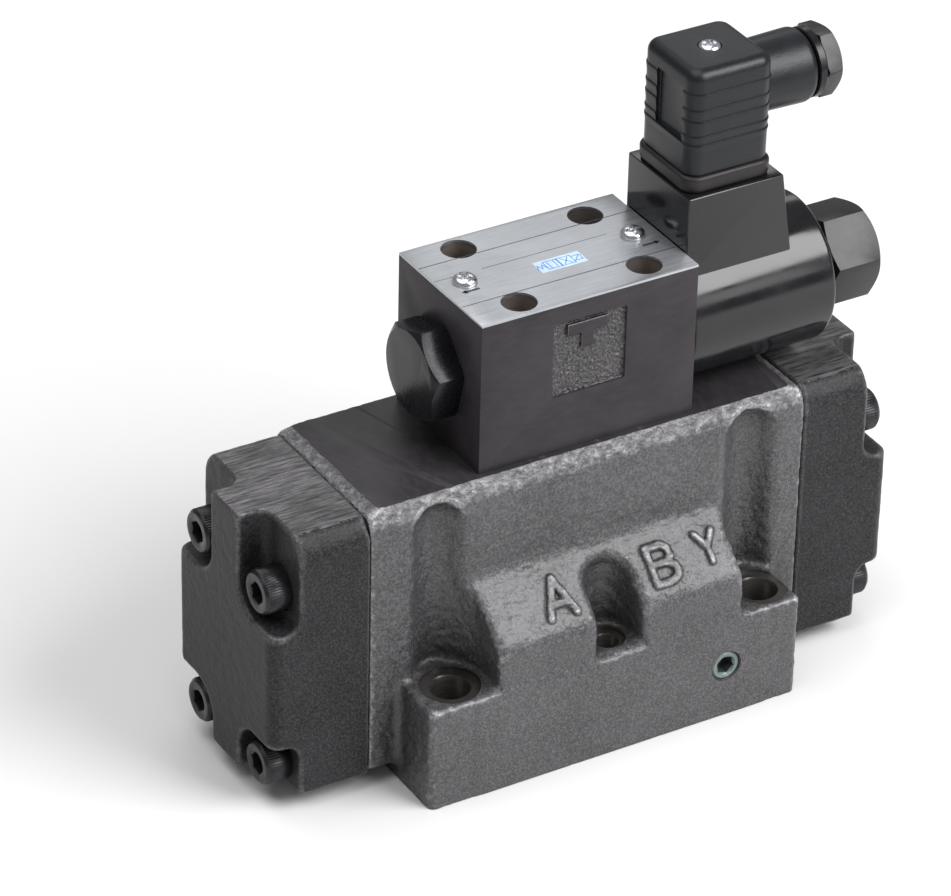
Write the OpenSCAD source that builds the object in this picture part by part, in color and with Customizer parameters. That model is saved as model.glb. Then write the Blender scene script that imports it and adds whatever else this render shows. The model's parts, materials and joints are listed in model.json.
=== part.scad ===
// Pilot-operated solenoid directional valve: a size 16 main valve for ISO 4401-07
// mounting, carrying a size 6 solenoid pilot valve with a square three-pin plug.
// X runs along the main spool towards the solenoid, -Y is the front, +Z is up.
// The origin is the centre of the four large mounting holes, on the mounting face.

/* [Main body] */
// Left end face of the cast body
body_x0 = -72; // [-72.5:0.1:-71.5]
// Length of the cast body along the main spool
body_length = 140.6; // [140:0.1:141.2]
// Half the width of the upper casting
body_half_width = 28; // [27.8:0.1:28.4]
// Height of the machined top above the mounting face
body_top = 90; // [89.8:0.1:90.2]
// Height of the casting's underside beside the foot
body_bottom = 5; // [4:0.5:6]
// Half the width of the foot
foot_half_width = 45.5; // [45:0.1:46.5]
// Height of the bolt seats on the foot
foot_height = 33; // [32.5:0.1:33.5]
// Height of the front edge of the sloping port bosses
boss_front_z = 44.3; // [43.5:0.1:45]
// Height of the back edge of the sloping port bosses
boss_back_z = 60.5; // [60:0.1:61]
// Height of the main spool's axis
spool_axis_z = 41; // [40.5:0.1:41.5]

/* [Mounting face] */
// Spacing of the M10 holes along the spool
bolt_spacing_x = 101.6; // [101.5:0.1:101.7]
// Spacing of the M10 holes across the body
bolt_spacing_y = 69.9; // [69.8:0.1:70]
// Diameter of the M10 clearance holes
bolt_hole_d = 11; // [10.5:0.1:11.5]
// Diameter of the M6 clearance holes
small_hole_d = 6.6; // [6.4:0.1:7]
// Diameter of the P, T, A and B ports
port_d = 17.5; // [17:0.1:17.5]
// Diameter of the X and Y control ports
control_port_d = 6.3; // [6:0.1:6.3]

/* [End covers] */
// Thickness of each end cover along the spool
cover_thickness = 31; // [30.8:0.1:31.5]
// Height of the covers' top
cover_top = 89; // [88.5:0.1:89.5]
// Distance of the cover screws from the middle plane
screw_y = 17.2; // [17:0.1:17.4]
// Height of the upper cover screws
screw_high_z = 69.2; // [69:0.1:69.6]
// Height of the lower cover screws
screw_low_z = 12.5; // [12.4:0.1:12.8]
// Depth of the corner pockets that hold the screw heads
pocket_depth = 9; // [8.6:0.1:9.4]

/* [Pilot valve] */
// Left end face of the pilot body
pilot_x0 = -35.6; // [-35.8:0.1:-35.4]
// Right end face of the pilot body
pilot_x1 = 33.6; // [33.5:0.1:33.7]
// Half the width of the pilot body
pilot_half_width = 22.55; // [22.4:0.05:22.8]
// Height of the pilot body's ground top
pilot_top = 136.5; // [136.4:0.1:136.6]
// Thickness of the nameplate
plate_thickness = 0.8; // [0.6:0.1:1]
// Height of the pilot spool's axis
pilot_axis_z = 113.2; // [113:0.1:113.4]
// Width across the flats of the end plug and the coil nut
large_hex_af = 25.6; // [25:0.1:26]

/* [Solenoid] */
// Diameter of the moulded coil
coil_d = 44.6; // [44:0.1:45]
// Right end of the moulded coil
coil_x1 = 81.3; // [81:0.1:81.6]
// Half the width of the terminal box on the coil
box_half_width = 15.8; // [15.5:0.1:16]
// Height of the terminal box's top
box_top = 153.9; // [153.5:0.1:154.2]

/* [Plug connector] */
// Middle of the plug along the coil
plug_x = 48.7; // [48.5:0.1:48.9]
// Width of the square plug housing
plug_width = 27.4; // [27:0.1:27.8]
// Height of the plug housing's underside
plug_bottom = 158.9; // [158.5:0.1:159.2]
// Height of the plug housing's top
plug_top = 191; // [190.5:0.1:191.5]
// Height of the cable gland's axis
gland_axis_z = 177.8; // [177.5:0.1:178]
// Diameter of the gland boss
gland_boss_d = 21.6; // [21.4:0.1:22]

/* [Motion] */
// Travel of the main spool from its spring-held end to the other
main_stroke = 14; // [12:0.5:14]
// Travel of the pilot spool, push pin and armature
pilot_stroke = 3; // [2.5:0.1:3]

/* [Hidden] */
$fn = 48;

// A small overlap that keeps a cut from ending on a face
eps = 0.1;
body_x1 = body_x0 + body_length;
half_bolt_x = bolt_spacing_x / 2;
half_bolt_y = bolt_spacing_y / 2;

// Main ports on the mounting face: [x, y]
port_a = [-16.7, -20.65];
port_b = [15.1, -20.65];
port_p = [-0.8, 20.65];
port_t = [-32.5, 20.65];
control_x = [25.8, 19.05];
control_y = [37.3, -22.25];
// The ports end inside the bore's ring grooves, just clear of the spool's lands
port_top_z = spool_axis_z - 5;
// M6 mounting holes: [x, y]
small_holes = [[-0.8, -36.55], [-16.7, 36.55]];
seat_d = 17.5;
seat_depth = 1.2;
small_seat_d = 10.8;
groove_r_left = 10.4;
groove_r_right = 11;
small_groove_r = 9;

// Main spool, its bore and the ring grooves around it
bore_d = 25;
land_d = 24.9;
neck_d = 16;
bore_groove_d = 30;
bore_groove_w = 8;
groove_pitch = 15.9;
spool_half_length = 62;
spool_rest_x = port_p[0] + main_stroke / 2;
chamber_d = 27;
chamber_depth = 24;
spring_seat_t = 3;

// Pilot valve
pilot_bore_d = 12;
pilot_land_d = 11.9;
pilot_neck_d = 7.5;
pilot_ports = [[-1.25, -10.4], [-1.25, 10.4], [7.55, 0], [-9.95, 0]];
pilot_holes = [[-20.25, 16.25], [-20.25, -16.25], [20.25, 15.5], [20.25, -15.5]];
well_d = 10;
pilot_bolt_seat_z = 100;
plate_top = pilot_top + plate_thickness;
plate_screws = [[-27.8, 0], [26.2, 0]];
pilot_spool_x0 = -22;
pilot_spool_x1 = 23;
armature_x0 = 55.3;
armature_x1 = 80.2;
tube_x1 = 98;
nut_x1 = 102.5;
nut_collar_d = 29;
override_x1 = 101.8;
coil_x0 = pilot_x1 + 0.3;
tube_d = 19;
tube_bore_d = 15.7;
thread_d = 19.9;
coil_seal_d = 22.6;

// Plug connector
plug_half = plug_width / 2;
gland_x0 = plug_x + plug_half;
gland_x1 = 79.3;
gland_nut_x1 = 87.3;
gland_hex_af = 18.6;

iron = [0.26, 0.25, 0.24];
cover_iron = [0.2, 0.2, 0.21];
ground_iron = [0.4, 0.38, 0.36];
black_steel = [0.1, 0.1, 0.11];
bright_steel = [0.75, 0.76, 0.78];
zinc = [0.8, 0.8, 0.82];
rubber = [0.06, 0.06, 0.06];
gloss_black = [0.05, 0.05, 0.055];
matt_black = [0.1, 0.1, 0.1];

// ---- Shared shapes ----

module block(x0, x1, y0, y1, z0, z1)
    translate([x0, y0, z0])
        cube([x1 - x0, y1 - y0, z1 - z0]);

module x_rod(d, x0, x1, y = 0, z = 0)
    translate([x0, y, z])
        rotate([0, 90, 0])
            cylinder(h = x1 - x0, d = d);

module y_rod(d, y0, y1, x, z)
    translate([x, y0, z])
        rotate([-90, 0, 0])
            cylinder(h = y1 - y0, d = d);

module z_rod(d, z0, z1, x = 0, y = 0)
    translate([x, y, z0])
        cylinder(h = z1 - z0, d = d);

// A hexagonal prism along X, af wide across its flats, turned by angle
module x_hexagon(af, x0, x1, z, angle = 0)
    translate([x0, 0, z])
        rotate([angle, 0, 0])
            rotate([0, 90, 0])
                cylinder(h = x1 - x0, d = af / cos(30), $fn = 6);

module yz_prism(points, x0, x1)
    translate([x0, 0, 0])
        rotate([90, 0, 90])
            linear_extrude(x1 - x0)
                polygon(points);

module xz_prism(points, y0, y1)
    translate([0, y1, 0])
        rotate([90, 0, 0])
            linear_extrude(y1 - y0)
                polygon(points);

// A plate with rounded vertical edges
module rounded_plate(x0, x1, y0, y1, z0, z1, r) {
    block(x0 + r, x1 - r, y0, y1, z0, z1);
    block(x0, x1, y0 + r, y1 - r, z0, z1);
    for (x = [x0 + r, x1 - r], y = [y0 + r, y1 - r])
        z_rod(2 * r, z0, z1, x, y);
}

module ring_z(mean_d, wire_d, x, y, z)
    translate([x, y, z])
        rotate_extrude()
            translate([mean_d / 2, 0])
                circle(d = wire_d);

module ring_x(mean_d, wire_d, x, z)
    translate([x, 0, z])
        rotate([0, 90, 0])
            ring_z(mean_d, wire_d, 0, 0, 0);

// A socket-head screw along +Z: the head stands on z = 0
module socket_screw(d, head_d, head_h, length, socket_af) {
    difference() {
        z_rod(head_d, 0, head_h);
        translate([0, 0, head_h / 2])
            cylinder(h = head_h, d = socket_af / cos(30), $fn = 6);
    }
    z_rod(d, -length, eps);
}

// A pan-head screw along +Z with a cross recess: the head stands on z = 0
module pan_screw(d, head_d, head_h, length) {
    difference() {
        z_rod(head_d, 0, head_h);
        for (turn = [0, 90])
            translate([0, 0, head_h])
                rotate([0, 0, turn])
                    cube([head_d * 0.6, head_d * 0.14, head_h], center = true);
    }
    z_rod(d, -length, eps);
}

// Share of the free length reached at t, with the end turns lying flat
function spring_rise(t, flat) =
    t < flat ? 0 : t > 1 - flat ? 1 : (t - flat) / (1 - 2 * flat);

// A compression spring along X, from x0 to x1, as one closed tube
module x_spring(wire, mean_d, turns, x0, x1, z, steps = 18, sides = 8) {
    n = turns * steps;
    flat = 0.8 / turns;
    points = [
        for (i = [0:n], j = [0:sides - 1])
            let (
                t = i / n,
                a = 360 * turns * t,
                b = 360 * j / sides,
                r = mean_d / 2 + wire / 2 * cos(b),
                turn_x = wire * 0.9 * (min(t, flat) + max(0, t - 1 + flat)) * turns,
                free = x1 - x0 - wire * (1 + 1.8 * flat * turns)
            )
            [
                x0 + wire / 2 + turn_x + free * spring_rise(t, flat) + wire / 2 * sin(b),
                r * cos(a),
                z + r * sin(a)
            ]
    ];
    sides_faces = [
        for (i = [0:n - 1], j = [0:sides - 1])
            let (k = (j + 1) % sides)
            [i * sides + j, i * sides + k, (i + 1) * sides + k, (i + 1) * sides + j]
    ];
    first_cap = [[for (j = [sides - 1:-1:0]) j]];
    last_cap = [[for (j = [0:sides - 1]) n * sides + j]];
    polyhedron(points = points, faces = concat(sides_faces, first_cap, last_cap));
}

// ---- Main valve ----

module upper_casting() {
    slope_y = 24.4;
    slope_z = 84.5;
    end_bevel = 4.2;
    intersection() {
        yz_prism([
            [-slope_y, body_top], [-body_half_width, slope_z],
            [-body_half_width, body_bottom + 2], [-body_half_width + 2, body_bottom],
            [body_half_width - 2, body_bottom], [body_half_width, body_bottom + 2],
            [body_half_width, slope_z], [slope_y, body_top]
        ], body_x0, body_x1);
        xz_prism([
            [body_x0, 0], [body_x1, 0], [body_x1, body_top - 1.6], [body_x1 - end_bevel, body_top],
            [body_x0 + end_bevel, body_top], [body_x0, body_top - 1.6]
        ], -body_half_width - 1, body_half_width + 1);
    }
}

// The sloping boss on one side: side is -1 for the front and 1 for the back
module port_boss(side) {
    inner = body_half_width - 4;
    mirror([0, side > 0 ? 1 : 0, 0])
        yz_prism([
            [-inner, body_bottom + 1], [-foot_half_width, body_bottom + 1],
            [-foot_half_width, boss_front_z], [-body_half_width, boss_back_z], [-inner, boss_back_z]
        ], -half_bolt_x + 6, half_bolt_x - 6);
}

// A groove open to the outside, above a mounting hole
module bolt_groove(x, y, r, z1) {
    side = y > 0 ? 1 : -1;
    outer = side * (foot_half_width + 1);
    z_rod(2 * r, foot_height, z1, x, y);
    block(x - r, x + r, min(y, outer), max(y, outer), foot_height, z1);
}

// The M6 groove ends in a round roof below the top of the boss
module small_groove(x, y) {
    side = y > 0 ? 1 : -1;
    outer = side * (foot_half_width + 1);
    roof_z = boss_back_z - small_groove_r - 1;
    bolt_groove(x, y, small_groove_r, roof_z);
    y_rod(2 * small_groove_r, min(y, outer), max(y, outer), x, roof_z);
    translate([x, y, roof_z])
        sphere(r = small_groove_r);
}

// Places letter strokes on the front slope: x along X, y up the slope, z outwards
module on_front_slope() {
    run = foot_half_width - body_half_width;
    rise = boss_back_z - boss_front_z;
    translate([0, -foot_half_width, boss_front_z])
        rotate([atan2(rise, run), 0, 0])
            children();
}

// One straight letter stroke between two points
module stroke(a, b, w = 2, h = 0.9) {
    v = b - a;
    translate([a[0], a[1], -0.5])
        rotate([0, 0, atan2(v[1], v[0])])
            translate([-w / 2, -w / 2, 0])
                cube([norm(v) + w, w, h + 0.5]);
}

module letter_a(x, y) {
    stroke([x - 4.4, y - 5.5], [x, y + 5.5]);
    stroke([x + 4.4, y - 5.5], [x, y + 5.5]);
    stroke([x - 2.6, y - 2], [x + 2.6, y - 2]);
}

module letter_b(x, y) {
    stroke([x - 4, y - 5.5], [x - 4, y + 5.5]);
    for (bowl = [-1, 1]) {
        stroke([x - 4, y + bowl * 5.5], [x + 0.6, y + bowl * 5.5]);
        translate([x + 0.6, y + bowl * 2.75, -0.5])
            difference() {
                z_rod(7.5, 0, 1.4);
                z_rod(3.5, -1, 3);
                block(-5, 0, -5, 5, -1, 3);
            }
    }
    stroke([x - 4, y], [x + 0.6, y]);
}

module letter_y(x, y) {
    stroke([x, y - 4.5], [x, y], 1.8);
    stroke([x, y], [x - 2.8, y + 4.5], 1.8);
    stroke([x, y], [x + 2.8, y + 4.5], 1.8);
}

// Drillings that carry the control oil between the two valves
module control_drillings() {
    pilot_p = pilot_ports[0];
    pilot_t = pilot_ports[1];
    high_z = 78;
    p_z = 72;
    t_z = 66;
    for (port = pilot_ports)
        z_rod(6, port[1] < -5 ? p_z : port[1] > 5 ? t_z : high_z, body_top + 1, port[0], port[1]);
    x_rod(6, pilot_ports[2][0], body_x1 + 1, 0, high_z);
    x_rod(6, body_x0 - 1, pilot_ports[3][0], 0, high_z);
    x_rod(6, pilot_p[0], control_x[0], pilot_p[1], p_z);
    y_rod(6, pilot_p[1], control_x[1], control_x[0], p_z);
    x_rod(6, pilot_t[0], control_y[0], pilot_t[1], t_z);
    y_rod(6, control_y[1], pilot_t[1], control_y[0], t_z);
    z_rod(control_port_d, -1, p_z, control_x[0], control_x[1]);
    z_rod(control_port_d, -1, t_z, control_y[0], control_y[1]);
    for (port = [control_x, control_y])
        z_rod(12.6, -1, 1.5, port[0], port[1]);
}

module main_body() color(iron)
    difference() {
        union() {
            upper_casting();
            rounded_plate(-62.6, 59.3, -foot_half_width, foot_half_width, 0, foot_height, 3);
            port_boss(-1);
            port_boss(1);
            on_front_slope() {
                letter_a(-18, 12);
                letter_b(16.5, 12);
                letter_y(31.6, 12);
            }
        }
        for (y = [-half_bolt_y, half_bolt_y]) {
            bolt_groove(-half_bolt_x, y, groove_r_left, body_top + 1);
            bolt_groove(half_bolt_x, y, groove_r_right, body_top + 1);
        }
        for (x = [-half_bolt_x, half_bolt_x], y = [-half_bolt_y, half_bolt_y]) {
            z_rod(bolt_hole_d, -1, foot_height + 1, x, y);
            z_rod(seat_d, foot_height - seat_depth, foot_height + 1, x, y);
        }
        for (hole = small_holes) {
            small_groove(hole[0], hole[1]);
            z_rod(small_hole_d, -1, foot_height + 1, hole[0], hole[1]);
            z_rod(small_seat_d, foot_height - seat_depth, foot_height + 1, hole[0], hole[1]);
        }
        for (port = [port_a, port_b, port_p, port_t]) {
            z_rod(port_d, -1, port_top_z, port[0], port[1]);
            z_rod(27, -1, 1.9, port[0], port[1]);
        }
        x_rod(bore_d, body_x0 - 1, body_x1 + 1, 0, spool_axis_z);
        for (i = [-2:2])
            x_rod(bore_groove_d, port_p[0] + i * groove_pitch - bore_groove_w / 2,
                port_p[0] + i * groove_pitch + bore_groove_w / 2, 0, spool_axis_z);
        for (y = [-screw_y, screw_y], z = [screw_low_z, screw_high_z]) {
            x_rod(8.1, body_x0 - 1, body_x0 + 21, y, z);
            x_rod(8.1, body_x1 - 21, body_x1 + 1, y, z);
        }
        for (hole = pilot_holes)
            z_rod(5.1, body_top - 14, body_top + 1, hole[0], hole[1]);
        control_drillings();
        y_rod(9.1, -foot_half_width - 1, -foot_half_width + 9, 34.4, 16.8);
    }

// The screw pocket at one corner of a cover, in the cover's own coordinates
module cover_pocket(side, high) {
    r = 8.9;
    reach = 30;
    seat = cover_thickness - pocket_depth;
    z = high ? screw_high_z : screw_low_z;
    x_rod(2 * r, seat, cover_thickness + 1, side * screw_y, z);
    mirror([0, side < 0 ? 1 : 0, 0]) {
        block(seat, cover_thickness + 1, screw_y, reach, high ? z - r : -1, high ? 95 : z + r);
        block(seat, cover_thickness + 1, screw_y - r, reach, high ? z : -1, high ? 95 : z);
    }
}

// A cover from its seam at x = 0 outwards, with a stop for the spool inside
module cover_shape(stop_d, stop_x) {
    corner_r = 4;
    slope_y = 23.8;
    drill_x = 8;
    difference() {
        intersection() {
            yz_prism([
                [-slope_y, cover_top], [-body_half_width, cover_top - 5.5],
                [-body_half_width, body_bottom + 3], [-body_half_width + 3, body_bottom],
                [body_half_width - 3, body_bottom], [body_half_width, body_bottom + 3],
                [body_half_width, cover_top - 5.5], [slope_y, cover_top]
            ], 0, cover_thickness);
            rounded_plate(-10, cover_thickness, -body_half_width, body_half_width, 0, 95, corner_r);
        }
        for (side = [-1, 1]) {
            cover_pocket(side, true);
            cover_pocket(side, false);
            for (z = [screw_low_z, screw_high_z])
                x_rod(9, -1, cover_thickness, side * screw_y, z);
        }
        x_rod(chamber_d, -1, chamber_depth, 0, spool_axis_z);
        difference() {
            x_rod(36.4, -1, 2, 0, spool_axis_z);
            x_rod(32.2, -2, 3, 0, spool_axis_z);
        }
        x_rod(5, -1, drill_x, 0, 78);
        z_rod(6, spool_axis_z + 12, 81, drill_x, 0);
    }
    x_rod(stop_d, stop_x, chamber_depth + 1, 0, spool_axis_z);
}

module left_end_cover() color(cover_iron)
    translate([body_x0, 0, 0])
        mirror([1, 0, 0])
            cover_shape(11, main_stroke - 12.9);

module right_end_cover() color(cover_iron)
    translate([body_x1, 0, 0])
        cover_shape(12, 0);

// Four M8 screws through a cover, along +X from the seam at x = 0
module cover_screw_set()
    for (y = [-screw_y, screw_y], z = [screw_low_z, screw_high_z])
        translate([cover_thickness - pocket_depth, y, z])
            rotate([0, 90, 0])
                socket_screw(8, 13, 8, 42, 6);

module left_cover_screws() color(black_steel)
    translate([body_x0, 0, 0])
        mirror([1, 0, 0])
            cover_screw_set();

module right_cover_screws() color(black_steel)
    translate([body_x1, 0, 0])
        cover_screw_set();

module left_cover_seal() color(rubber)
    ring_x(34.3, 1.9, body_x0 - 1, spool_axis_z);

module right_cover_seal() color(rubber)
    ring_x(34.3, 1.9, body_x1 + 1, spool_axis_z);

module main_spool() color(bright_steel) {
    c = spool_rest_x;
    x_rod(neck_d, c - spool_half_length + 1, c + spool_half_length - 1, 0, spool_axis_z);
    for (side = [-1, 1]) {
        end_land = [c + side * 38, c + side * spool_half_length];
        mid_land = [c + side * 11.6, c + side * 20.2];
        x_rod(land_d, min(end_land), max(end_land), 0, spool_axis_z);
        x_rod(land_d, min(mid_land), max(mid_land), 0, spool_axis_z);
    }
}

module main_spring_seat() color(bright_steel)
    x_rod(19.6, spool_rest_x - spool_half_length - spring_seat_t,
        spool_rest_x - spool_half_length, 0, spool_axis_z);

module main_spring() color(bright_steel)
    x_spring(3, 16.4, 6, body_x0 - chamber_depth + 0.05,
        spool_rest_x - spool_half_length - spring_seat_t - 0.05, spool_axis_z);

// The O-rings lie pressed flat with the mounting face
module port_seals() color(rubber)
    for (port = [port_a, port_b, port_p, port_t])
        ring_z(24.6, 1.8, port[0], port[1], 0.95);

module control_port_seals() color(rubber)
    for (port = [control_x, control_y])
        ring_z(10.7, 1.4, port[0], port[1], 0.75);

module front_screw_plug() color(zinc)
    translate([34.4, -foot_half_width + 0.4, 16.8])
        rotate([-90, 0, 0])
            difference() {
                cylinder(h = 7.5, d = 9);
                translate([0, 0, -1])
                    cylinder(h = 5, d = 5 / cos(30), $fn = 6);
            }

// ---- Pilot valve ----

// The letter stands in a rough-cast square recess on the front
module port_letter_recess() {
    front = -pilot_half_width;
    difference() {
        block(-12.7, 10.7, front - 1, front + 1, 107.6, 131);
        block(-8.2, 4.8, front - 2, front + 2, 126, 129.5);
        block(-3.6, 0.2, front - 2, front + 2, 121.3, 126.5);
    }
}

module pilot_body() color(ground_iron)
    difference() {
        block(pilot_x0, pilot_x1, -pilot_half_width, pilot_half_width, body_top, pilot_top);
        port_letter_recess();
        x_rod(pilot_bore_d, pilot_x0 - 1, pilot_x1 + 1, 0, pilot_axis_z);
        for (i = [-1:1])
            x_rod(16, -1.25 + i * 8.75 - 2.25, -1.25 + i * 8.75 + 2.25, 0, pilot_axis_z);
        for (i = [-2, 2])
            x_rod(20.4, -1.25 + i * 8.7 - 2.25, -1.25 + i * 8.7 + 2.25, 0, pilot_axis_z);
        x_rod(20, pilot_x0 - 1, pilot_x0 + 8.2, 0, pilot_axis_z);
        x_rod(20, pilot_x1 - 8.2, pilot_x1 + 1, 0, pilot_axis_z);
        for (port = pilot_ports) {
            z_rod(6, body_top - 1, 106, port[0], port[1]);
            z_rod(9, body_top - 1, body_top + 1.5, port[0], port[1]);
        }
        z_rod(6, body_top, pilot_axis_z, pilot_ports[0][0], pilot_ports[0][1]);
        x_rod(5, -1.25 - 19.65, -1.25 + 19.65, 9.5, 105.5);
        for (hole = pilot_holes) {
            z_rod(5.3, body_top - 1, pilot_bolt_seat_z + 1, hole[0], hole[1]);
            z_rod(well_d, pilot_bolt_seat_z, pilot_top + 1, hole[0], hole[1]);
        }
        for (hole = plate_screws)
            z_rod(3, pilot_top - 7, pilot_top + 1, hole[0], hole[1]);
    }

module pilot_bolts() color(black_steel)
    for (hole = pilot_holes)
        translate([hole[0], hole[1], pilot_bolt_seat_z])
            socket_screw(5, 8.5, 5, 23, 4);

module pilot_port_seals() color(rubber)
    for (port = pilot_ports)
        ring_z(7.4, 1.4, port[0], port[1], body_top + 0.75);

module nameplate() color(bright_steel)
    difference() {
        block(pilot_x0, pilot_x1, -pilot_half_width, pilot_half_width, pilot_top, plate_top);
        for (hole = pilot_holes)
            z_rod(well_d + 0.2, pilot_top - 1, plate_top + 1, hole[0], hole[1]);
        for (hole = plate_screws)
            z_rod(3.2, pilot_top - 1, plate_top + 1, hole[0], hole[1]);
    }

module nameplate_screws() color(zinc)
    for (hole = plate_screws)
        translate([hole[0], hole[1], plate_top])
            pan_screw(2.9, 7, 2, 6);

module pilot_end_plug() color(black_steel)
    difference() {
        union() {
            x_hexagon(large_hex_af, pilot_x0 - 7.6, pilot_x0, pilot_axis_z, 15);
            x_rod(25.4, pilot_x0 - 9.4, pilot_x0 - 7.5, 0, pilot_axis_z);
            x_rod(16.4, pilot_x0 - eps, pilot_x0 + 3, 0, pilot_axis_z);
            x_rod(thread_d, pilot_x0 + 2.4, pilot_x0 + 7.8, 0, pilot_axis_z);
        }
        x_rod(13.4, pilot_x0 - 5.6, pilot_x0 + 9, 0, pilot_axis_z);
    }

module end_plug_seal() color(rubber)
    ring_x(18.2, 1.6, pilot_x0 + 1.2, pilot_axis_z);

module pilot_spool() color(bright_steel) {
    c = (pilot_spool_x0 + pilot_spool_x1) / 2;
    half = (pilot_spool_x1 - pilot_spool_x0) / 2;
    x_rod(pilot_neck_d, pilot_spool_x0, pilot_spool_x1, 0, pilot_axis_z);
    for (side = [-1, 1]) {
        end_land = [c + side * 17, c + side * (half - 0.5)];
        mid_land = [c + side * 6, c + side * 11];
        x_rod(pilot_land_d, min(end_land), max(end_land), 0, pilot_axis_z);
        x_rod(pilot_land_d, min(mid_land), max(mid_land), 0, pilot_axis_z);
    }
}

module pilot_spring_seat() color(bright_steel)
    x_rod(11.4, pilot_spool_x0 - 1.8, pilot_spool_x0, 0, pilot_axis_z);

module pilot_spring() color(bright_steel)
    x_spring(1.2, 9, 6, pilot_x0 - 5.55, pilot_spool_x0 - 1.85, pilot_axis_z, 16, 6);

module push_pin() color(bright_steel)
    x_rod(4, pilot_spool_x1 + 0.05, armature_x0 - 0.05, 0, pilot_axis_z);

module pole_piece() color(bright_steel)
    difference() {
        x_rod(tube_bore_d - 0.1, pilot_x1 - 7.8, armature_x0 - pilot_stroke - 0.3, 0, pilot_axis_z);
        x_rod(4.15, 0, 60, 0, pilot_axis_z);
    }

module core_tube() color(bright_steel)
    difference() {
        union() {
            x_rod(thread_d, pilot_x1 - 7.8, pilot_x1 - 2.4, 0, pilot_axis_z);
            x_rod(17.2, pilot_x1 - 3, pilot_x1, 0, pilot_axis_z);
            x_rod(tube_d, pilot_x1 - 0.3, 83.6, 0, pilot_axis_z);
            x_rod(18, 83, tube_x1, 0, pilot_axis_z);
            x_rod(9.6, tube_x1 - 1, 102.2, 0, pilot_axis_z);
        }
        x_rod(tube_bore_d, 0, 83.6, 0, pilot_axis_z);
        x_rod(4.15, 80, 110, 0, pilot_axis_z);
    }

module core_tube_seal() color(rubber)
    ring_x(18.6, 1.3, pilot_x1 - 1.3, pilot_axis_z);

module armature() color(bright_steel)
    difference() {
        x_rod(tube_bore_d - 0.15, armature_x0, armature_x1, 0, pilot_axis_z);
        for (side = [-1, 1])
            x_rod(2, armature_x0 - 1, armature_x1 + 1, side * 5, pilot_axis_z);
    }

module override_pin() color(bright_steel) {
    x_rod(4, armature_x1 + 1, override_x1, 0, pilot_axis_z);
    x_rod(7, armature_x1 + 0.05, armature_x1 + 1.6, 0, pilot_axis_z);
}

// ---- Solenoid ----

module coil_housing() color(gloss_black)
    difference() {
        union() {
            x_rod(coil_d, coil_x0, coil_x1, 0, pilot_axis_z);
            xz_prism([
                [coil_x0, pilot_axis_z], [71.2, pilot_axis_z], [65, box_top], [coil_x0, box_top]
            ], -box_half_width, box_half_width);
        }
        x_rod(20, coil_x0 - 1, coil_x1 + 1, 0, pilot_axis_z);
        x_rod(coil_seal_d, coil_x0 - 1, coil_x0 + 1.8, 0, pilot_axis_z);
        x_rod(coil_seal_d, coil_x1 - 1.8, coil_x1 + 1, 0, pilot_axis_z);
        x_rod(36.8, coil_x0 + 4, coil_x1 - 4, 0, pilot_axis_z);
        blade_shapes();
        z_rod(3, 147, box_top + 1, plug_x, 0);
    }

module coil_bobbin() color("white")
    difference() {
        union() {
            x_rod(22, coil_x0 + 4.1, coil_x1 - 4.1, 0, pilot_axis_z);
            x_rod(36.6, coil_x0 + 4.1, coil_x0 + 5.6, 0, pilot_axis_z);
            x_rod(36.6, coil_x1 - 5.6, coil_x1 - 4.1, 0, pilot_axis_z);
        }
        x_rod(20, 0, 100, 0, pilot_axis_z);
    }

module coil_winding() color("orange")
    difference() {
        x_rod(35, coil_x0 + 5.7, coil_x1 - 5.7, 0, pilot_axis_z);
        x_rod(22.1, 0, 100, 0, pilot_axis_z);
    }

module coil_seals() color(rubber) {
    ring_x(20.9, 1.5, coil_x0 + 0.9, pilot_axis_z);
    ring_x(20.9, 1.5, coil_x1 - 0.9, pilot_axis_z);
}

module coil_nut() color(gloss_black)
    difference() {
        union() {
            x_rod(nut_collar_d, coil_x1 + 0.2, 86.5, 0, pilot_axis_z);
            x_hexagon(large_hex_af, 86.4, nut_x1, pilot_axis_z, 19);
        }
        x_rod(19.4, 80, 84, 0, pilot_axis_z);
        x_rod(18.1, 80, tube_x1 + 0.1, 0, pilot_axis_z);
        x_rod(10, 90, nut_x1 + 1, 0, pilot_axis_z);
    }

// ---- Plug connector ----

module blade_shapes() {
    for (y = [-9, 9])
        block(plug_x - 3.15, plug_x + 3.15, y - 0.4, y + 0.4, 148, 166);
    block(plug_x - 9.4, plug_x - 8.6, -3.15, 3.15, 148, 166);
}

module contact_blades() color(bright_steel)
    blade_shapes();

module plug_gasket() color([0.12, 0.09, 0.08])
    difference() {
        rounded_plate(plug_x - 14.3, plug_x + 14.3, -14.3, 14.3, box_top, plug_bottom, 4);
        block(plug_x - 11.6, plug_x + 11.6, -11.6, 11.6, box_top - 1, plug_bottom + 1);
    }

module plug_insert() color([0.3, 0.3, 0.32])
    difference() {
        block(plug_x - 11.4, plug_x + 11.4, -11.4, 11.4, box_top + 0.1, 168.5);
        for (y = [-9, 9])
            block(plug_x - 3.6, plug_x + 3.6, y - 0.8, y + 0.8, 150, 167);
        block(plug_x - 9.8, plug_x - 8.2, -3.6, 3.6, 150, 167);
        z_rod(3.4, 150, 170, plug_x, 0);
    }

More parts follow.
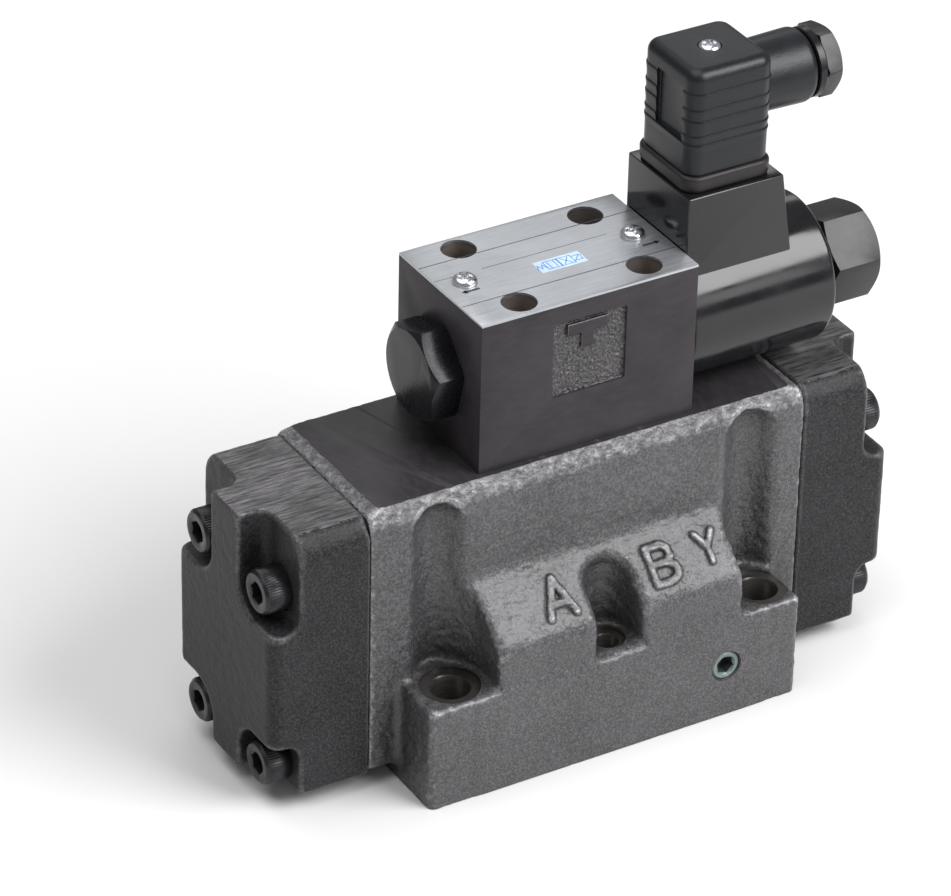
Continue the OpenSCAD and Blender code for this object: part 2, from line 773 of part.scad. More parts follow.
module plug_housing() color(matt_black)
    difference() {
        union() {
            rounded_plate(plug_x - plug_half, gland_x0, -plug_half, plug_half, plug_bottom, plug_top, 3);
            x_rod(gland_boss_d, gland_x0 - 3, gland_x1, 0, gland_axis_z);
        }
        block(plug_x - 11.6, plug_x + 11.6, -11.6, 11.6, plug_bottom - 1, plug_top - 3);
        block(plug_x - plug_half - 1, plug_x - plug_half + 0.8, -6.8, 4.7, 168, 187);
        x_rod(16, 66.5, gland_x1 + 1, 0, gland_axis_z);
        x_rod(10, 55, gland_x1, 0, gland_axis_z);
        z_rod(3.4, plug_top - 5, plug_top + 1, plug_x, 0);
        z_rod(8.4, plug_top - 1.2, plug_top + 1, plug_x, 0);
    }

module plug_screw() color(zinc)
    translate([plug_x, 0, plug_top - 1.2])
        pan_screw(2.9, 6.6, 2.2, 40);

module gland_grommet() color(rubber)
    difference() {
        x_rod(15.8, 66.6, 73.1, 0, gland_axis_z);
        x_rod(8, 60, 80, 0, gland_axis_z);
    }

module gland_washer() color(zinc)
    difference() {
        x_rod(15.6, 73.2, 74.2, 0, gland_axis_z);
        x_rod(9, 60, 80, 0, gland_axis_z);
    }

module gland_nut() color(matt_black)
    difference() {
        union() {
            x_rod(15.9, 74.3, 80, 0, gland_axis_z);
            x_rod(20.6, gland_x1 + 0.2, 82, 0, gland_axis_z);
            x_hexagon(gland_hex_af, 81.9, gland_nut_x1, gland_axis_z, 25);
        }
        x_rod(10, 60, 95, 0, gland_axis_z);
    }

main_body();
left_end_cover();
right_end_cover();
left_cover_screws();
right_cover_screws();
left_cover_seal();
right_cover_seal();
main_spool();
main_spring();
main_spring_seat();
port_seals();
control_port_seals();
front_screw_plug();
pilot_body();
pilot_bolts();
pilot_port_seals();
nameplate();
nameplate_screws();
pilot_end_plug();
end_plug_seal();
pilot_spool();
pilot_spring();
pilot_spring_seat();
push_pin();
pole_piece();
core_tube();
core_tube_seal();
armature();
override_pin();
coil_housing();
coil_bobbin();
coil_winding();
coil_seals();
coil_nut();
contact_blades();
plug_gasket();
plug_insert();
plug_housing();
plug_screw();
gland_grommet();
gland_washer();
gland_nut();
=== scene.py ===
"""Looks of the solenoid directional valve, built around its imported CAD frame. All sizes are in
millimetres in the part's frame, and MM turns them into Blender's metres."""

import json
import math

import bmesh
import bpy
import numpy as np
import openvdb as vdb
from mathutils import Matrix, Vector, noise


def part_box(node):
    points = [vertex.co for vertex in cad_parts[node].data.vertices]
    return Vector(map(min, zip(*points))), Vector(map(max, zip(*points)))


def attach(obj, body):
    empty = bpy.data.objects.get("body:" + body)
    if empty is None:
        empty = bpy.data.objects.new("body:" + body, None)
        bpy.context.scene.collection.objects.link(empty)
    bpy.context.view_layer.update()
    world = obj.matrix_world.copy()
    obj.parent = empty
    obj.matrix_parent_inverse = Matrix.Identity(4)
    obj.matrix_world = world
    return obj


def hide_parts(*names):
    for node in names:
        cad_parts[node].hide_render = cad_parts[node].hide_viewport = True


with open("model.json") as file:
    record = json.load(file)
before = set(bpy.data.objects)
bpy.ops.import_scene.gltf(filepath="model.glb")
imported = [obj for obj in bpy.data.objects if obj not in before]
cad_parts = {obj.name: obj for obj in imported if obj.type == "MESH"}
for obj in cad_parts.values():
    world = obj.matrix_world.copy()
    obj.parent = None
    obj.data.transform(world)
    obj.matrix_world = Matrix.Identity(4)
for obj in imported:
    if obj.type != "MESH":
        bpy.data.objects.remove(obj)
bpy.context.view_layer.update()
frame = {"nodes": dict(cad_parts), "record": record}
nodes = frame["nodes"]
MM = 0.001


def corners(node):
    """Lowest and highest corner of a CAD node, in millimetres."""
    low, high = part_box(node)
    return np.array(low) / MM, np.array(high) / MM


# ---- Driving places: some read from the frame, the rest given ----
BODY_LO, BODY_HI = corners("main_body")
PILOT_LO, PILOT_HI = corners("pilot_body")
PLATE_TOP = corners("nameplate")[1][2]
RIGHT_HI = corners("right_end_cover")[1]
COVER_LO, COVER_HI = corners("right_end_cover")
COIL_LO, COIL_HI = corners("coil_housing")
HOUSING_LO, HOUSING_HI = corners("plug_housing")
GASKET_LO, GASKET_HI = corners("plug_gasket")
NUT_LO, NUT_HI = corners("coil_nut")
GLAND_LO, GLAND_HI = corners("gland_nut")
PILOT_AXIS = (corners("armature")[0][2] + corners("armature")[1][2]) / 2
SPOOL_AXIS = (corners("main_spool")[0][2] + corners("main_spool")[1][2]) / 2
FOOT_Y = BODY_HI[1]
WALL_Y = COVER_HI[1]
BOLTS = [tuple(np.array(m["pos_m"]) / MM) for m in frame["record"]["mounts"] if "small_bolt" in m["name"]]
HALF_BOLT_X = 50.8
HALF_BOLT_Y = 34.95
BOLT_HOLES = [(x, y) for x in (-HALF_BOLT_X, HALF_BOLT_X) for y in (-HALF_BOLT_Y, HALF_BOLT_Y)]
MAIN_PORTS = ((-16.7, -20.65), (15.1, -20.65), (-0.8, 20.65), (-32.5, 20.65))
CONTROL_PORTS = ((25.8, 19.05), (37.3, -22.25))
SHOULDER_Z = 84.5
SHOULDER_Y = 24.4
SEAT_FACE_Z = 31.8
GROOVE_Y = 30.3
SCREW_FLOOR = 9.0
FOOT_LEFT = -62.6
FOOT_RIGHT = 59.3
SEAT_Z = 33.0
SCREW_Y = 17.2
SCREW_ZS = (12.5, 69.2)


# ---- Meshes ----
def mesh_object(name, points, faces, scale=MM):
    mesh = bpy.data.meshes.new(name)
    mesh.from_pydata([tuple(p) for p in np.asarray(points, float) * scale], [], faces)
    mesh.update()
    obj = bpy.data.objects.new(name, mesh)
    bpy.context.scene.collection.objects.link(obj)
    return obj


def from_bmesh(name, bm):
    bmesh.ops.recalc_face_normals(bm, faces=bm.faces)
    mesh = bpy.data.meshes.new(name)
    bm.to_mesh(mesh)
    bm.free()
    obj = bpy.data.objects.new(name, mesh)
    bpy.context.scene.collection.objects.link(obj)
    return obj


def block(name, low, high):
    bm = bmesh.new()
    bmesh.ops.create_cube(bm, size=1)
    low, high = Vector(low) * MM, Vector(high) * MM
    for v in bm.verts:
        v.co = Vector((low[i] + (v.co[i] + 0.5) * (high[i] - low[i]) for i in range(3)))
    return from_bmesh(name, bm)


AXIS_TURN = {
    "x": Matrix.Rotation(math.pi / 2, 4, "Y"),
    "y": Matrix.Rotation(-math.pi / 2, 4, "X"),
    "z": Matrix.Identity(4),
}


def lathe(name, profile, axis, centre, sides=96, turn=0.0, radius_at=None):
    """A closed solid of revolution. profile is [(height, radius)] from one end to the other, along
    the axis from centre. radius_at(k, height, radius) may change the radius at side k."""
    points, faces = [], []
    for h, r in profile:
        for k in range(sides):
            a = turn + 2 * math.pi * k / sides
            rr = radius_at(k, h, r) if radius_at else r
            points.append((rr * math.cos(a), rr * math.sin(a), h))
    n = len(profile)
    for i in range(n - 1):
        for k in range(sides):
            m = (k + 1) % sides
            faces.append((i * sides + k, i * sides + m, (i + 1) * sides + m, (i + 1) * sides + k))
    faces.append(tuple(range(sides - 1, -1, -1)))
    faces.append(tuple((n - 1) * sides + k for k in range(sides)))
    turned = [AXIS_TURN[axis] @ Vector(p) + Vector(centre) for p in points]
    obj = mesh_object(name, [tuple(p) for p in turned], faces)
    bm = bmesh.new()
    bm.from_mesh(obj.data)
    bmesh.ops.recalc_face_normals(bm, faces=bm.faces)
    bm.to_mesh(obj.data)
    bm.free()
    return obj


def rod(name, axis, centre, radius, length, sides=96):
    return lathe(name, [(0, radius), (length, radius)], axis, centre, sides)


def hexagon(name, axis, centre, across_flats, length, turn=0.0):
    return lathe(name, [(0, across_flats / math.sqrt(3)), (length, across_flats / math.sqrt(3))],
                 axis, centre, 6, turn)


def settle(obj):
    """Applies every modifier."""
    depsgraph = bpy.context.evaluated_depsgraph_get()
    mesh = bpy.data.meshes.new_from_object(obj.evaluated_get(depsgraph))
    obj.modifiers.clear()
    old = obj.data
    obj.data = mesh
    bpy.data.meshes.remove(old)
    return obj


def combine(obj, others, operation, solver="EXACT"):
    """Boolean of obj with each of the others, which are used up."""
    for other in others:
        m = obj.modifiers.new("b", "BOOLEAN")
        m.operation = operation
        m.solver = solver
        m.object = other
        settle(obj)
        bpy.data.objects.remove(other)
    return obj


def cut(obj, *others, solver="EXACT"):
    return combine(obj, others, "DIFFERENCE", solver)


def unite(obj, *others, solver="EXACT"):
    return combine(obj, others, "UNION", solver)


def common(obj, *others, solver="EXACT"):
    return combine(obj, others, "INTERSECT", solver)


def bevel(obj, width, segments=2, angle=30):
    m = obj.modifiers.new("bevel", "BEVEL")
    m.width = width * MM
    m.segments = segments
    m.limit_method = "ANGLE"
    m.angle_limit = math.radians(angle)
    m.use_clamp_overlap = True
    return settle(obj)


def smooth(obj, angle=32):
    """Smooth shading that stays crisp at edges sharper than angle."""
    obj.data.shade_smooth()
    obj.data.set_sharp_from_angle(angle=math.radians(angle))
    return obj


def join(name, objects):
    """Joins objects into one piece that keeps its separate shells."""
    bm = bmesh.new()
    for o in objects:
        bm.from_mesh(o.data)
        bpy.data.objects.remove(o)
    mesh = bpy.data.meshes.new(name)
    bm.to_mesh(mesh)
    bm.free()
    obj = bpy.data.objects.new(name, mesh)
    bpy.context.scene.collection.objects.link(obj)
    return obj


# ---- Distance fields: castings and soft-edged mouldings are blended, then meshed ----
class Field:
    """A grid of points, in millimetres, on which signed distances are worked out."""

    def __init__(self, low, high, step):
        self.low = np.array(low, float)
        self.step = step
        counts = [int((h - l) / step) + 1 for l, h in zip(low, high)]
        line = [(l + step * np.arange(n)).astype(np.float32) for l, n in zip(low, counts)]
        self.x = line[0][:, None, None]
        self.y = line[1][None, :, None]
        self.z = line[2][None, None, :]

    def box(self, low, high, r=0.0):
        q = []
        for v, l, h in zip((self.x, self.y, self.z), low, high):
            q.append(np.abs(v - (l + h) / 2) - ((h - l) / 2 - r))
        outside = np.sqrt(sum(np.maximum(v, 0) ** 2 for v in q))
        inside = np.minimum(np.maximum(np.maximum(q[0], q[1]), q[2]), 0)
        return outside + inside - r

    def mesh(self, name, distance):
        full = np.broadcast_to(distance, (self.x.size, self.y.size, self.z.size))
        grid = vdb.FloatGrid(3.0)
        grid.copyFromArray(np.array(full, np.float32))
        points, quads = grid.convertToQuads(isovalue=0.0)
        points = points * self.step + self.low
        return mesh_object(name, points, quads.tolist())


def union(a, b, k=0.0):
    if k <= 0:
        return np.minimum(a, b)
    h = np.clip(0.5 + 0.5 * (b - a) / k, 0, 1)
    return b * (1 - h) + a * h - k * h * (1 - h)


def carve(a, b, k=0.0):
    return -union(-a, b, k)


def overlap(a, b, k=0.0):
    return -union(-a, -b, k)


def roughen(obj, amount, size, seed):
    """Moves each point along its normal by smooth noise, as sand does to a casting."""
    shift = Vector((seed * 17.0, seed * 5.0, seed * 11.0))
    mesh = obj.data
    count = len(mesh.vertices)
    co = np.zeros(count * 3, np.float32)
    normals = np.zeros(count * 3, np.float32)
    mesh.vertices.foreach_get("co", co)
    mesh.vertex_normals.foreach_get("vector", normals)
    co, normals = co.reshape(-1, 3), normals.reshape(-1, 3)
    scale = 1 / (size * MM)
    lift = [noise.fractal(Vector(p) * scale + shift, 0.8, 2.1, 3) for p in co.tolist()]
    co += normals * (np.array(lift, np.float32)[:, None] * amount * MM)
    mesh.vertices.foreach_set("co", co.ravel())
    mesh.update()
    return obj


def mark_proud(obj, rounds=10):
    """Stores how far each point stands out of its smoothed surroundings, in millimetres."""
    mesh = obj.data
    count = len(mesh.vertices)
    co = np.zeros(count * 3, np.float32)
    normals = np.zeros(count * 3, np.float32)
    ends = np.zeros(len(mesh.edges) * 2, np.int32)
    mesh.vertices.foreach_get("co", co)
    mesh.vertex_normals.foreach_get("vector", normals)
    mesh.edges.foreach_get("vertices", ends)
    co, normals, ends = co.reshape(-1, 3), normals.reshape(-1, 3), ends.reshape(-1, 2)
    share = 1 / np.maximum(np.bincount(ends.ravel(), minlength=count), 1)
    soft = co.astype(float)
    for _ in range(rounds):
        total = [np.bincount(ends[:, 0], soft[ends[:, 1], i], count) +
                 np.bincount(ends[:, 1], soft[ends[:, 0], i], count) for i in range(3)]
        soft = np.stack(total, 1) * share[:, None]
    lift = ((co - soft) * normals).sum(1) / MM
    mesh.attributes.new("proud", "FLOAT", "POINT").data.foreach_set("value", lift.astype(np.float32))
    return obj


def paint_shoulder_highlight(obj, height):
    """Counts the sloping shoulder above this height as proud too, so the wear colour lightens it: a
    painted highlight on the top band that faces the light.
    """
    mesh = obj.data
    count = len(mesh.vertices)
    co = np.zeros(count * 3, np.float32)
    mesh.vertices.foreach_get("co", co)
    lift = np.zeros(count, np.float32)
    mesh.attributes["proud"].data.foreach_get("value", lift)
    lift += 0.16 * np.clip((co[2::3] / MM - height) / 1.2, 0, 1)
    mesh.attributes["proud"].data.foreach_set("value", lift)


# ---- Materials ----
class Shader:
    """A small helper that adds nodes to one material."""

    def __init__(self, name):
        self.material = bpy.data.materials.new(name)
        self.material.use_nodes = True
        self.tree = self.material.node_tree
        self.surface = self.tree.nodes["Principled BSDF"]
        self.coords = self.add("ShaderNodeTexCoord").outputs["Object"]

    def add(self, kind, **settings):
        node = self.tree.nodes.new(kind)
        for key, value in settings.items():
            setattr(node, key, value)
        return node

    def link(self, a, b):
        self.tree.links.new(a, b)

    def noise(self, scale, detail=4, roughness=0.6, stretch=None):
        node = self.add("ShaderNodeTexNoise")
        node.inputs["Scale"].default_value = scale
        node.inputs["Detail"].default_value = detail
        node.inputs["Roughness"].default_value = roughness
        if stretch:
            mapping = self.add("ShaderNodeMapping")
            mapping.inputs["Scale"].default_value = stretch
            self.link(self.coords, mapping.inputs["Vector"])
            self.link(mapping.outputs[0], node.inputs["Vector"])
        else:
            self.link(self.coords, node.inputs["Vector"])
        return node.outputs["Fac"]

    def spots(self, scale):
        node = self.add("ShaderNodeTexVoronoi")
        node.inputs["Scale"].default_value = scale
        self.link(self.coords, node.inputs["Vector"])
        return node.outputs["Distance"]

    def painted_hollow_shade(self, reach=11.0):
        """High deep in pockets and grooves: an ambient-occlusion mask, used to darken the colour there as
        painted shade.
        """
        node = self.add("ShaderNodeAmbientOcclusion", only_local=True, samples=6)
        node.inputs["Distance"].default_value = reach * MM
        return self.spread(node.outputs["AO"], 0.85, 0.0, (0.5, 0.96))

    def ramp(self, value, stops):
        node = self.add("ShaderNodeValToRGB")
        elements = node.color_ramp.elements
        while len(elements) < len(stops):
            elements.new(0.5)
        for element, (at, colour) in zip(elements, stops):
            element.position = at
            element.color = (*colour, 1) if len(colour) == 3 else colour
        self.link(value, node.inputs["Fac"])
        return node.outputs["Color"]

    def spread(self, value, low, high, at=(0.0, 1.0)):
        node = self.add("ShaderNodeMapRange")
        node.inputs["From Min"].default_value = at[0]
        node.inputs["From Max"].default_value = at[1]
        node.inputs["To Min"].default_value = low
        node.inputs["To Max"].default_value = high
        self.link(value, node.inputs["Value"])
        return node.outputs[0]

    def mix(self, share, a, b, blend="MIX"):
        node = self.add("ShaderNodeMix", data_type="RGBA", blend_type=blend)
        for socket, value in ((node.inputs["Factor"], share), (node.inputs[6], a), (node.inputs[7], b)):
            if isinstance(value, (int, float)):
                socket.default_value = value
            elif isinstance(value, tuple):
                socket.default_value = (*value, 1)
            else:
                self.link(value, socket)
        return node.outputs[2]

    def math(self, operation, a, b):
        node = self.add("ShaderNodeMath", operation=operation)
        for socket, value in ((node.inputs[0], a), (node.inputs[1], b)):
            if isinstance(value, (int, float)):
                socket.default_value = value
            else:
                self.link(value, socket)
        return node.outputs[0]

    def bump(self, height, strength, distance):
        node = self.add("ShaderNodeBump")
        node.inputs["Strength"].default_value = strength
        node.inputs["Distance"].default_value = distance * MM
        self.link(height, node.inputs["Height"])
        last = self.surface.inputs["Normal"]
        if last.is_linked:
            self.link(last.links[0].from_socket, node.inputs["Normal"])
        self.link(node.outputs[0], last)

    def set(self, **values):
        names = {"colour": "Base Color", "roughness": "Roughness", "metallic": "Metallic",
                 "specular": "Specular IOR Level"}
        for key, value in values.items():
            socket = self.surface.inputs[names[key]]
            if isinstance(value, (int, float)):
                socket.default_value = value
            elif isinstance(value, tuple):
                socket.default_value = (*value, 1)
            else:
                self.link(value, socket)
        return self.material


def cast_iron(name, dark, light, wear_sheen_tone, grain=1.0, rub=(0.1, 0.34), metal=0.2, gloss=0.7):
    """Phosphated sand casting: fine grain, cloudy tone, worn bright where it stands proud, with a painted
    highlight on the top shoulder band and painted shade darkening creases, pockets and grooves.
    """
    s = Shader(name)
    cloud = s.noise(45, 3)
    grit = s.noise(1500, 3, 0.7)
    proud = s.add("ShaderNodeAttribute", attribute_name="proud").outputs["Fac"]
    base = s.ramp(cloud, [(0.35, dark), (0.68, light)])
    flecks = s.spread(grit, 0.0, 0.34, (0.42, 0.72))
    # Rub wear on proud edges, plus the painted highlight on the shoulder band.
    rub_wear_and_sheen = s.math("MULTIPLY", s.spread(proud, 0.0, 1.0, rub), s.spread(grit, 0.25, 1.0, (0.36, 0.62)))
    # Painted shade: points lying below their smoothed surroundings, in creases and hollows, are marked for
    # darkening.
    hollow = s.spread(proud, 0.5, 0.0, (-0.45, -0.06))
    colour = s.mix(s.math("MAXIMUM", flecks, rub_wear_and_sheen), base, wear_sheen_tone)
    # Painted shade: creases, pockets and grooves are mixed towards a third of the dark tone.
    colour = s.mix(s.math("MAXIMUM", hollow, s.painted_hollow_shade()), colour, tuple(c * 0.35 for c in dark))
    s.bump(s.noise(900, 4, 0.65), 0.5 * grain, 0.25)
    s.bump(s.spots(1300), 0.35 * grain, 0.12)
    return s.set(colour=colour, roughness=s.spread(grit, 0.32, 0.5, (0.3, 0.7)),
                 metallic=s.spread(rub_wear_and_sheen, metal, 0.6), specular=gloss)


def machined(name, colour_a, colour_b, roughness, stretch, metallic=0.8, depth=0.02, scale=400,
             specular=0.5):
    """Ground or turned metal: fine lines along one direction and a faint cloud."""
    s = Shader(name)
    lines = s.noise(scale, 3, 0.6, stretch)
    cloud = s.noise(60, 3)
    base = s.ramp(cloud, [(0.3, colour_a), (0.7, colour_b)])
    colour = s.mix(s.spread(lines, 0.0, 0.35, (0.4, 0.7)), base, tuple(c * 1.35 for c in colour_b))
    s.bump(lines, 0.25, depth)
    return s.set(colour=colour, roughness=s.spread(lines, roughness * 0.85, roughness * 1.2, (0.3, 0.7)),
                 metallic=metallic, specular=specular)


def sanded(name, low, high):
    """A cast skin dressed with coarse paper along x: bright scratches over dark hollows."""
    s = Shader(name)
    lines = s.noise(1500, 4, 0.7, (0.09, 1, 1))
    patches = s.noise(160, 3, 0.6, (0.4, 1, 1))
    share = s.math("MULTIPLY", s.spread(lines, 0.0, 1.0, (0.38, 0.66)),
                   s.spread(patches, 0.35, 1.0, (0.35, 0.62)))
    s.bump(lines, 0.8, 0.2)
    return s.set(colour=s.mix(share, low, high), roughness=s.spread(lines, 0.3, 0.5, (0.3, 0.7)),
                 metallic=s.spread(share, 0.1, 0.7), specular=0.4)


def plastic(name, colour, roughness, grain_scale, grain_depth, smudge=0.1, specular=0.5):
    """Moulded plastic or rubber: eroded grain, faint marks and uneven gloss."""
    s = Shader(name)
    marks = s.noise(90, 5, 0.7)
    grain = s.noise(grain_scale, 2, 0.5)
    pale = tuple(min(1, c * 1.6 + 0.004) for c in colour)
    tone = s.mix(s.spread(marks, 0.0, 0.5, (0.45, 0.75)), colour, pale)
    s.bump(grain, 0.4, grain_depth)
    return s.set(colour=tone, roughness=s.spread(marks, roughness, roughness + smudge, (0.35, 0.7)),
                 specular=specular)


# Castings
BODY_IRON = cast_iron("body_iron", (0.035, 0.033, 0.036), (0.056, 0.053, 0.057),
                      (0.36, 0.355, 0.365), grain=1.25)
COVER_IRON = cast_iron("cover_iron", (0.012, 0.0112, 0.0125), (0.019, 0.0175, 0.0195),
                       (0.15, 0.145, 0.15), grain=0.9, rub=(0.06, 0.26), metal=0.05, gloss=0.16)
COVER_SANDED = sanded("cover_sanded", (0.022, 0.021, 0.0225), (0.27, 0.26, 0.27))
RECESS_IRON = cast_iron("recess_iron", (0.024, 0.022, 0.0235), (0.044, 0.0405, 0.043),
                        (0.3, 0.285, 0.3), grain=2.2, rub=(0.02, 0.1))
PLUG_ZINC = cast_iron("plug_zinc", (0.06, 0.085, 0.08), (0.2, 0.26, 0.25), (0.4, 0.48, 0.46), grain=0.6)
# Machined faces and steel parts
PILOT_IRON = machined("pilot_iron", (0.032, 0.0283, 0.0318), (0.045, 0.0398, 0.0445), 0.42, (0.3, 1, 1),
                      metallic=0.1, depth=0.008, scale=700, specular=0.15)
BODY_MACHINED = machined("body_machined", (0.027, 0.0248, 0.027), (0.04, 0.0368, 0.04), 0.42, (1, 0.5, 1),
                         metallic=0.1, depth=0.006, scale=500, specular=0.3)
BORE_METAL = machined("bore_metal", (0.06, 0.055, 0.052), (0.1, 0.093, 0.088), 0.3, (0.2, 0.2, 1),
                      metallic=0.7, scale=900)
WELL_METAL = machined("well_metal", (0.26, 0.225, 0.2), (0.36, 0.32, 0.29), 0.34, (0.2, 0.2, 1),
                      metallic=0.75, scale=900)
BLACK_STEEL = machined("black_steel", (0.012, 0.012, 0.013), (0.02, 0.02, 0.022), 0.3, (1, 1, 1), 0.5)
SCREW_BLACK = machined("screw_black", (0.012, 0.012, 0.014), (0.022, 0.022, 0.025), 0.32, (1, 1, 1), 0.4)
PLUG_STEEL = machined("plug_steel", (0.008, 0.008, 0.01), (0.013, 0.013, 0.016), 0.25, (1, 1, 1),
                      metallic=0.3, depth=0.003, scale=1200, specular=0.38)
BRIGHT_STEEL = machined("bright_steel", (0.5, 0.5, 0.52), (0.62, 0.62, 0.64), 0.25, (1, 0.1, 0.1), 1.0)
ZINC = machined("zinc", (0.6, 0.61, 0.64), (0.72, 0.73, 0.76), 0.24, (1, 1, 1),
                metallic=1.0, depth=0.003, scale=1500)
COPPER = machined("copper", (0.5, 0.2, 0.09), (0.62, 0.27, 0.12), 0.35, (1, 0.02, 0.02), 1.0)
PLATE_METAL = machined("plate_metal", (0.4, 0.415, 0.44), (0.47, 0.485, 0.51), 0.38, (0.08, 1, 1),
                       depth=0.005, scale=1100)
# Plastic, rubber and ink
GLOSS_BLACK = plastic("gloss_black", (0.007, 0.007, 0.0085), 0.12, 300, 0.01)
PLUG_BLACK = plastic("plug_black", (0.0055, 0.0065, 0.009), 0.34, 1500, 0.16, smudge=0.08, specular=0.36)
NUT_BLACK = plastic("nut_black", (0.006, 0.006, 0.0075), 0.24, 900, 0.015, smudge=0.08, specular=0.36)
GASKET = plastic("gasket_rubber", (0.014, 0.0115, 0.012), 0.4, 1500, 0.03, specular=0.35)
RUBBER = plastic("rubber", (0.012, 0.012, 0.012), 0.55, 1800, 0.03)
NYLON = plastic("nylon", (0.6, 0.58, 0.52), 0.5, 1500, 0.02)
INSERT = plastic("insert_plastic", (0.06, 0.06, 0.065), 0.5, 1500, 0.03)
PRINT_DARK = plastic("print_dark", (0.02, 0.03, 0.045), 0.45, 2500, 0.004)
PRINT_BLUE = plastic("print_blue", (0.05, 0.2, 0.5), 0.45, 2500, 0.004)
PRINT_PALE = plastic("print_pale", (0.45, 0.56, 0.72), 0.5, 2500, 0.003)


def paint(obj, material):
    obj.data.materials.clear()
    obj.data.materials.append(material)
    return obj


SLOT_LOOKS = {
    "body_casting": BODY_IRON, "cover_casting": COVER_IRON, "ground_iron": PILOT_IRON,
    "black_oxide": BLACK_STEEL, "seal_rubber": RUBBER, "ground_steel": BRIGHT_STEEL,
    "spring_steel": BRIGHT_STEEL, "tube_steel": BRIGHT_STEEL, "zinc_steel": ZINC,
    "plate_aluminium": PLATE_METAL, "coil_plastic": GLOSS_BLACK, "bobbin_plastic": NYLON,
    "copper_wire": COPPER, "contact_brass": BRIGHT_STEEL, "gasket_rubber": GASKET,
    "plug_plastic": PLUG_BLACK, "insert_plastic": INSERT,
}
for part in frame["record"]["subparts"]:
    target = nodes[part["node"]].data
    look = SLOT_LOOKS[part["material_slot"]]
    if not target.materials:
        target.materials.append(look)
    for index in range(len(target.materials)):
        target.materials[index] = look


def place(piece, node, body="valve_body"):
    """The piece stands for a CAD node: it rides the same body, and the node is hidden."""
    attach(piece, body)
    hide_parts(node)
    return piece


# ---- Camera, light and floor ----
def make_camera():
    azimuth, elevation, roll = (math.radians(a) for a in (31.26, 32.30, 1.39))
    distance, target = 1.4376, Vector((-0.0231, 0.0, 0.0823))
    ahead = Vector((math.sin(azimuth) * math.cos(elevation), math.cos(azimuth) * math.cos(elevation),
                    -math.sin(elevation)))
    right = ahead.cross(Vector((0, 0, 1))).normalized()
    up = right.cross(ahead)
    cam_x = math.cos(roll) * right + math.sin(roll) * up
    cam_y = -math.sin(roll) * right + math.cos(roll) * up
    data = bpy.data.cameras.new("camera")
    data.sensor_width = 36
    data.lens = 195.2
    data.clip_end = 20
    camera = bpy.data.objects.new("camera", data)
    bpy.context.scene.collection.objects.link(camera)
    turn = Matrix((cam_x, cam_y, -ahead)).transposed().to_4x4()
    camera.matrix_world = Matrix.Translation(target - ahead * distance) @ turn
    bpy.context.scene.camera = camera


def make_light(name, spot, aim, size, power):
    data = bpy.data.lights.new(name, "AREA")
    data.shape = "RECTANGLE"
    data.size, data.size_y = size
    data.energy = power
    light = bpy.data.objects.new(name, data)
    bpy.context.scene.collection.objects.link(light)
    light.location = spot
    light.rotation_mode = "QUATERNION"
    light.rotation_quaternion = (Vector(aim) - Vector(spot)).to_track_quat("-Z", "Y")


def make_stage():
    floor = block("floor", (-3000, -3000, -20), (3000, 3000, -0.15))
    s = Shader("floor_paper")
    tone = s.ramp(s.noise(3, 2), [(0.3, (0.78, 0.78, 0.78)), (0.7, (0.82, 0.82, 0.82))])
    paint(floor, s.set(colour=tone, roughness=0.8, specular=0.2))
    world = bpy.data.worlds.new("studio")
    bpy.context.scene.world = world
    world.use_nodes = True
    background = world.node_tree.nodes["Background"]
    background.inputs["Color"].default_value = (1, 1, 1, 1)
    background.inputs["Strength"].default_value = 0.25
    bpy.context.scene.view_settings.view_transform = "Standard"
    make_light("key", (0.74, -0.96, 1.2), (0, 0, 0.08), (1.1, 0.9), 30)
    make_light("overhead", (-0.35, 0.15, 1.5), (-0.1, 0, 0.05), (1.8, 1.3), 17)
    make_light("front", (0.62, -1.2, 0.5), (0, 0, 0.08), (0.5, 0.28), 1.2)
    make_light("back", (0.75, 1.2, 0.95), (0, 0, 0.1), (0.9, 0.3), 1.6)


make_camera()
make_stage()


# ---- Main body casting ----
SLOPE_FOOT = (-FOOT_Y, 44.3)
SLOPE_TOP = (-WALL_Y, 60.5)
SLOPE_RUN = SLOPE_TOP[0] - SLOPE_FOOT[0]
SLOPE_RISE = SLOPE_TOP[1] - SLOPE_FOOT[1]
SLOPE_LENGTH = math.hypot(SLOPE_RUN, SLOPE_RISE)
LETTERS = (
    (-18.0, 11.7, 1.2, [(-4.2, -5.4, 0, 5.4), (4.2, -5.4, 0, 5.4), (-2.7, -2.0, 2.7, -2.0)]),
    (16.5, 11.7, 1.2, [(-3.8, -5.4, -3.8, 5.4), (-3.8, 5.4, 1.0, 5.4), (1.0, 5.4, 2.9, 4.2),
                       (2.9, 4.2, 2.9, 1.6), (2.9, 1.6, 1.0, 0.3), (-3.8, 0.3, 1.0, 0.3),
                       (1.0, 0.3, 3.6, -1.3), (3.6, -1.3, 3.6, -4.0), (3.6, -4.0, 1.2, -5.4),
                       (-3.8, -5.4, 1.2, -5.4)]),
    (31.7, 12.6, 1.0, [(0, -4.4, 0, -0.3), (0, -0.3, -2.8, 4.4), (0, -0.3, 2.8, 4.4)]),
)


def slope_frame(g, side=-1):
    """Distance up and out of the sloping boss, on the front (-1) or the back (1)."""
    y = g.y * -side
    up = ((y - SLOPE_FOOT[0]) * SLOPE_RUN + (g.z - SLOPE_FOOT[1]) * SLOPE_RISE) / SLOPE_LENGTH
    out = (-(y - SLOPE_FOOT[0]) * SLOPE_RISE + (g.z - SLOPE_FOOT[1]) * SLOPE_RUN) / SLOPE_LENGTH
    return up, out


def slope_boss(g, side):
    d = overlap(slope_frame(g, side)[1], g.y * side - FOOT_Y + 0.9, 2.5)
    d = overlap(d, np.abs(g.x) - (HALF_BOLT_X - 4), 2)
    d = overlap(overlap(d, -g.z - 2), g.z - SLOPE_TOP[1] - 0.8)
    return overlap(d, WALL_Y - 8 - side * g.y)


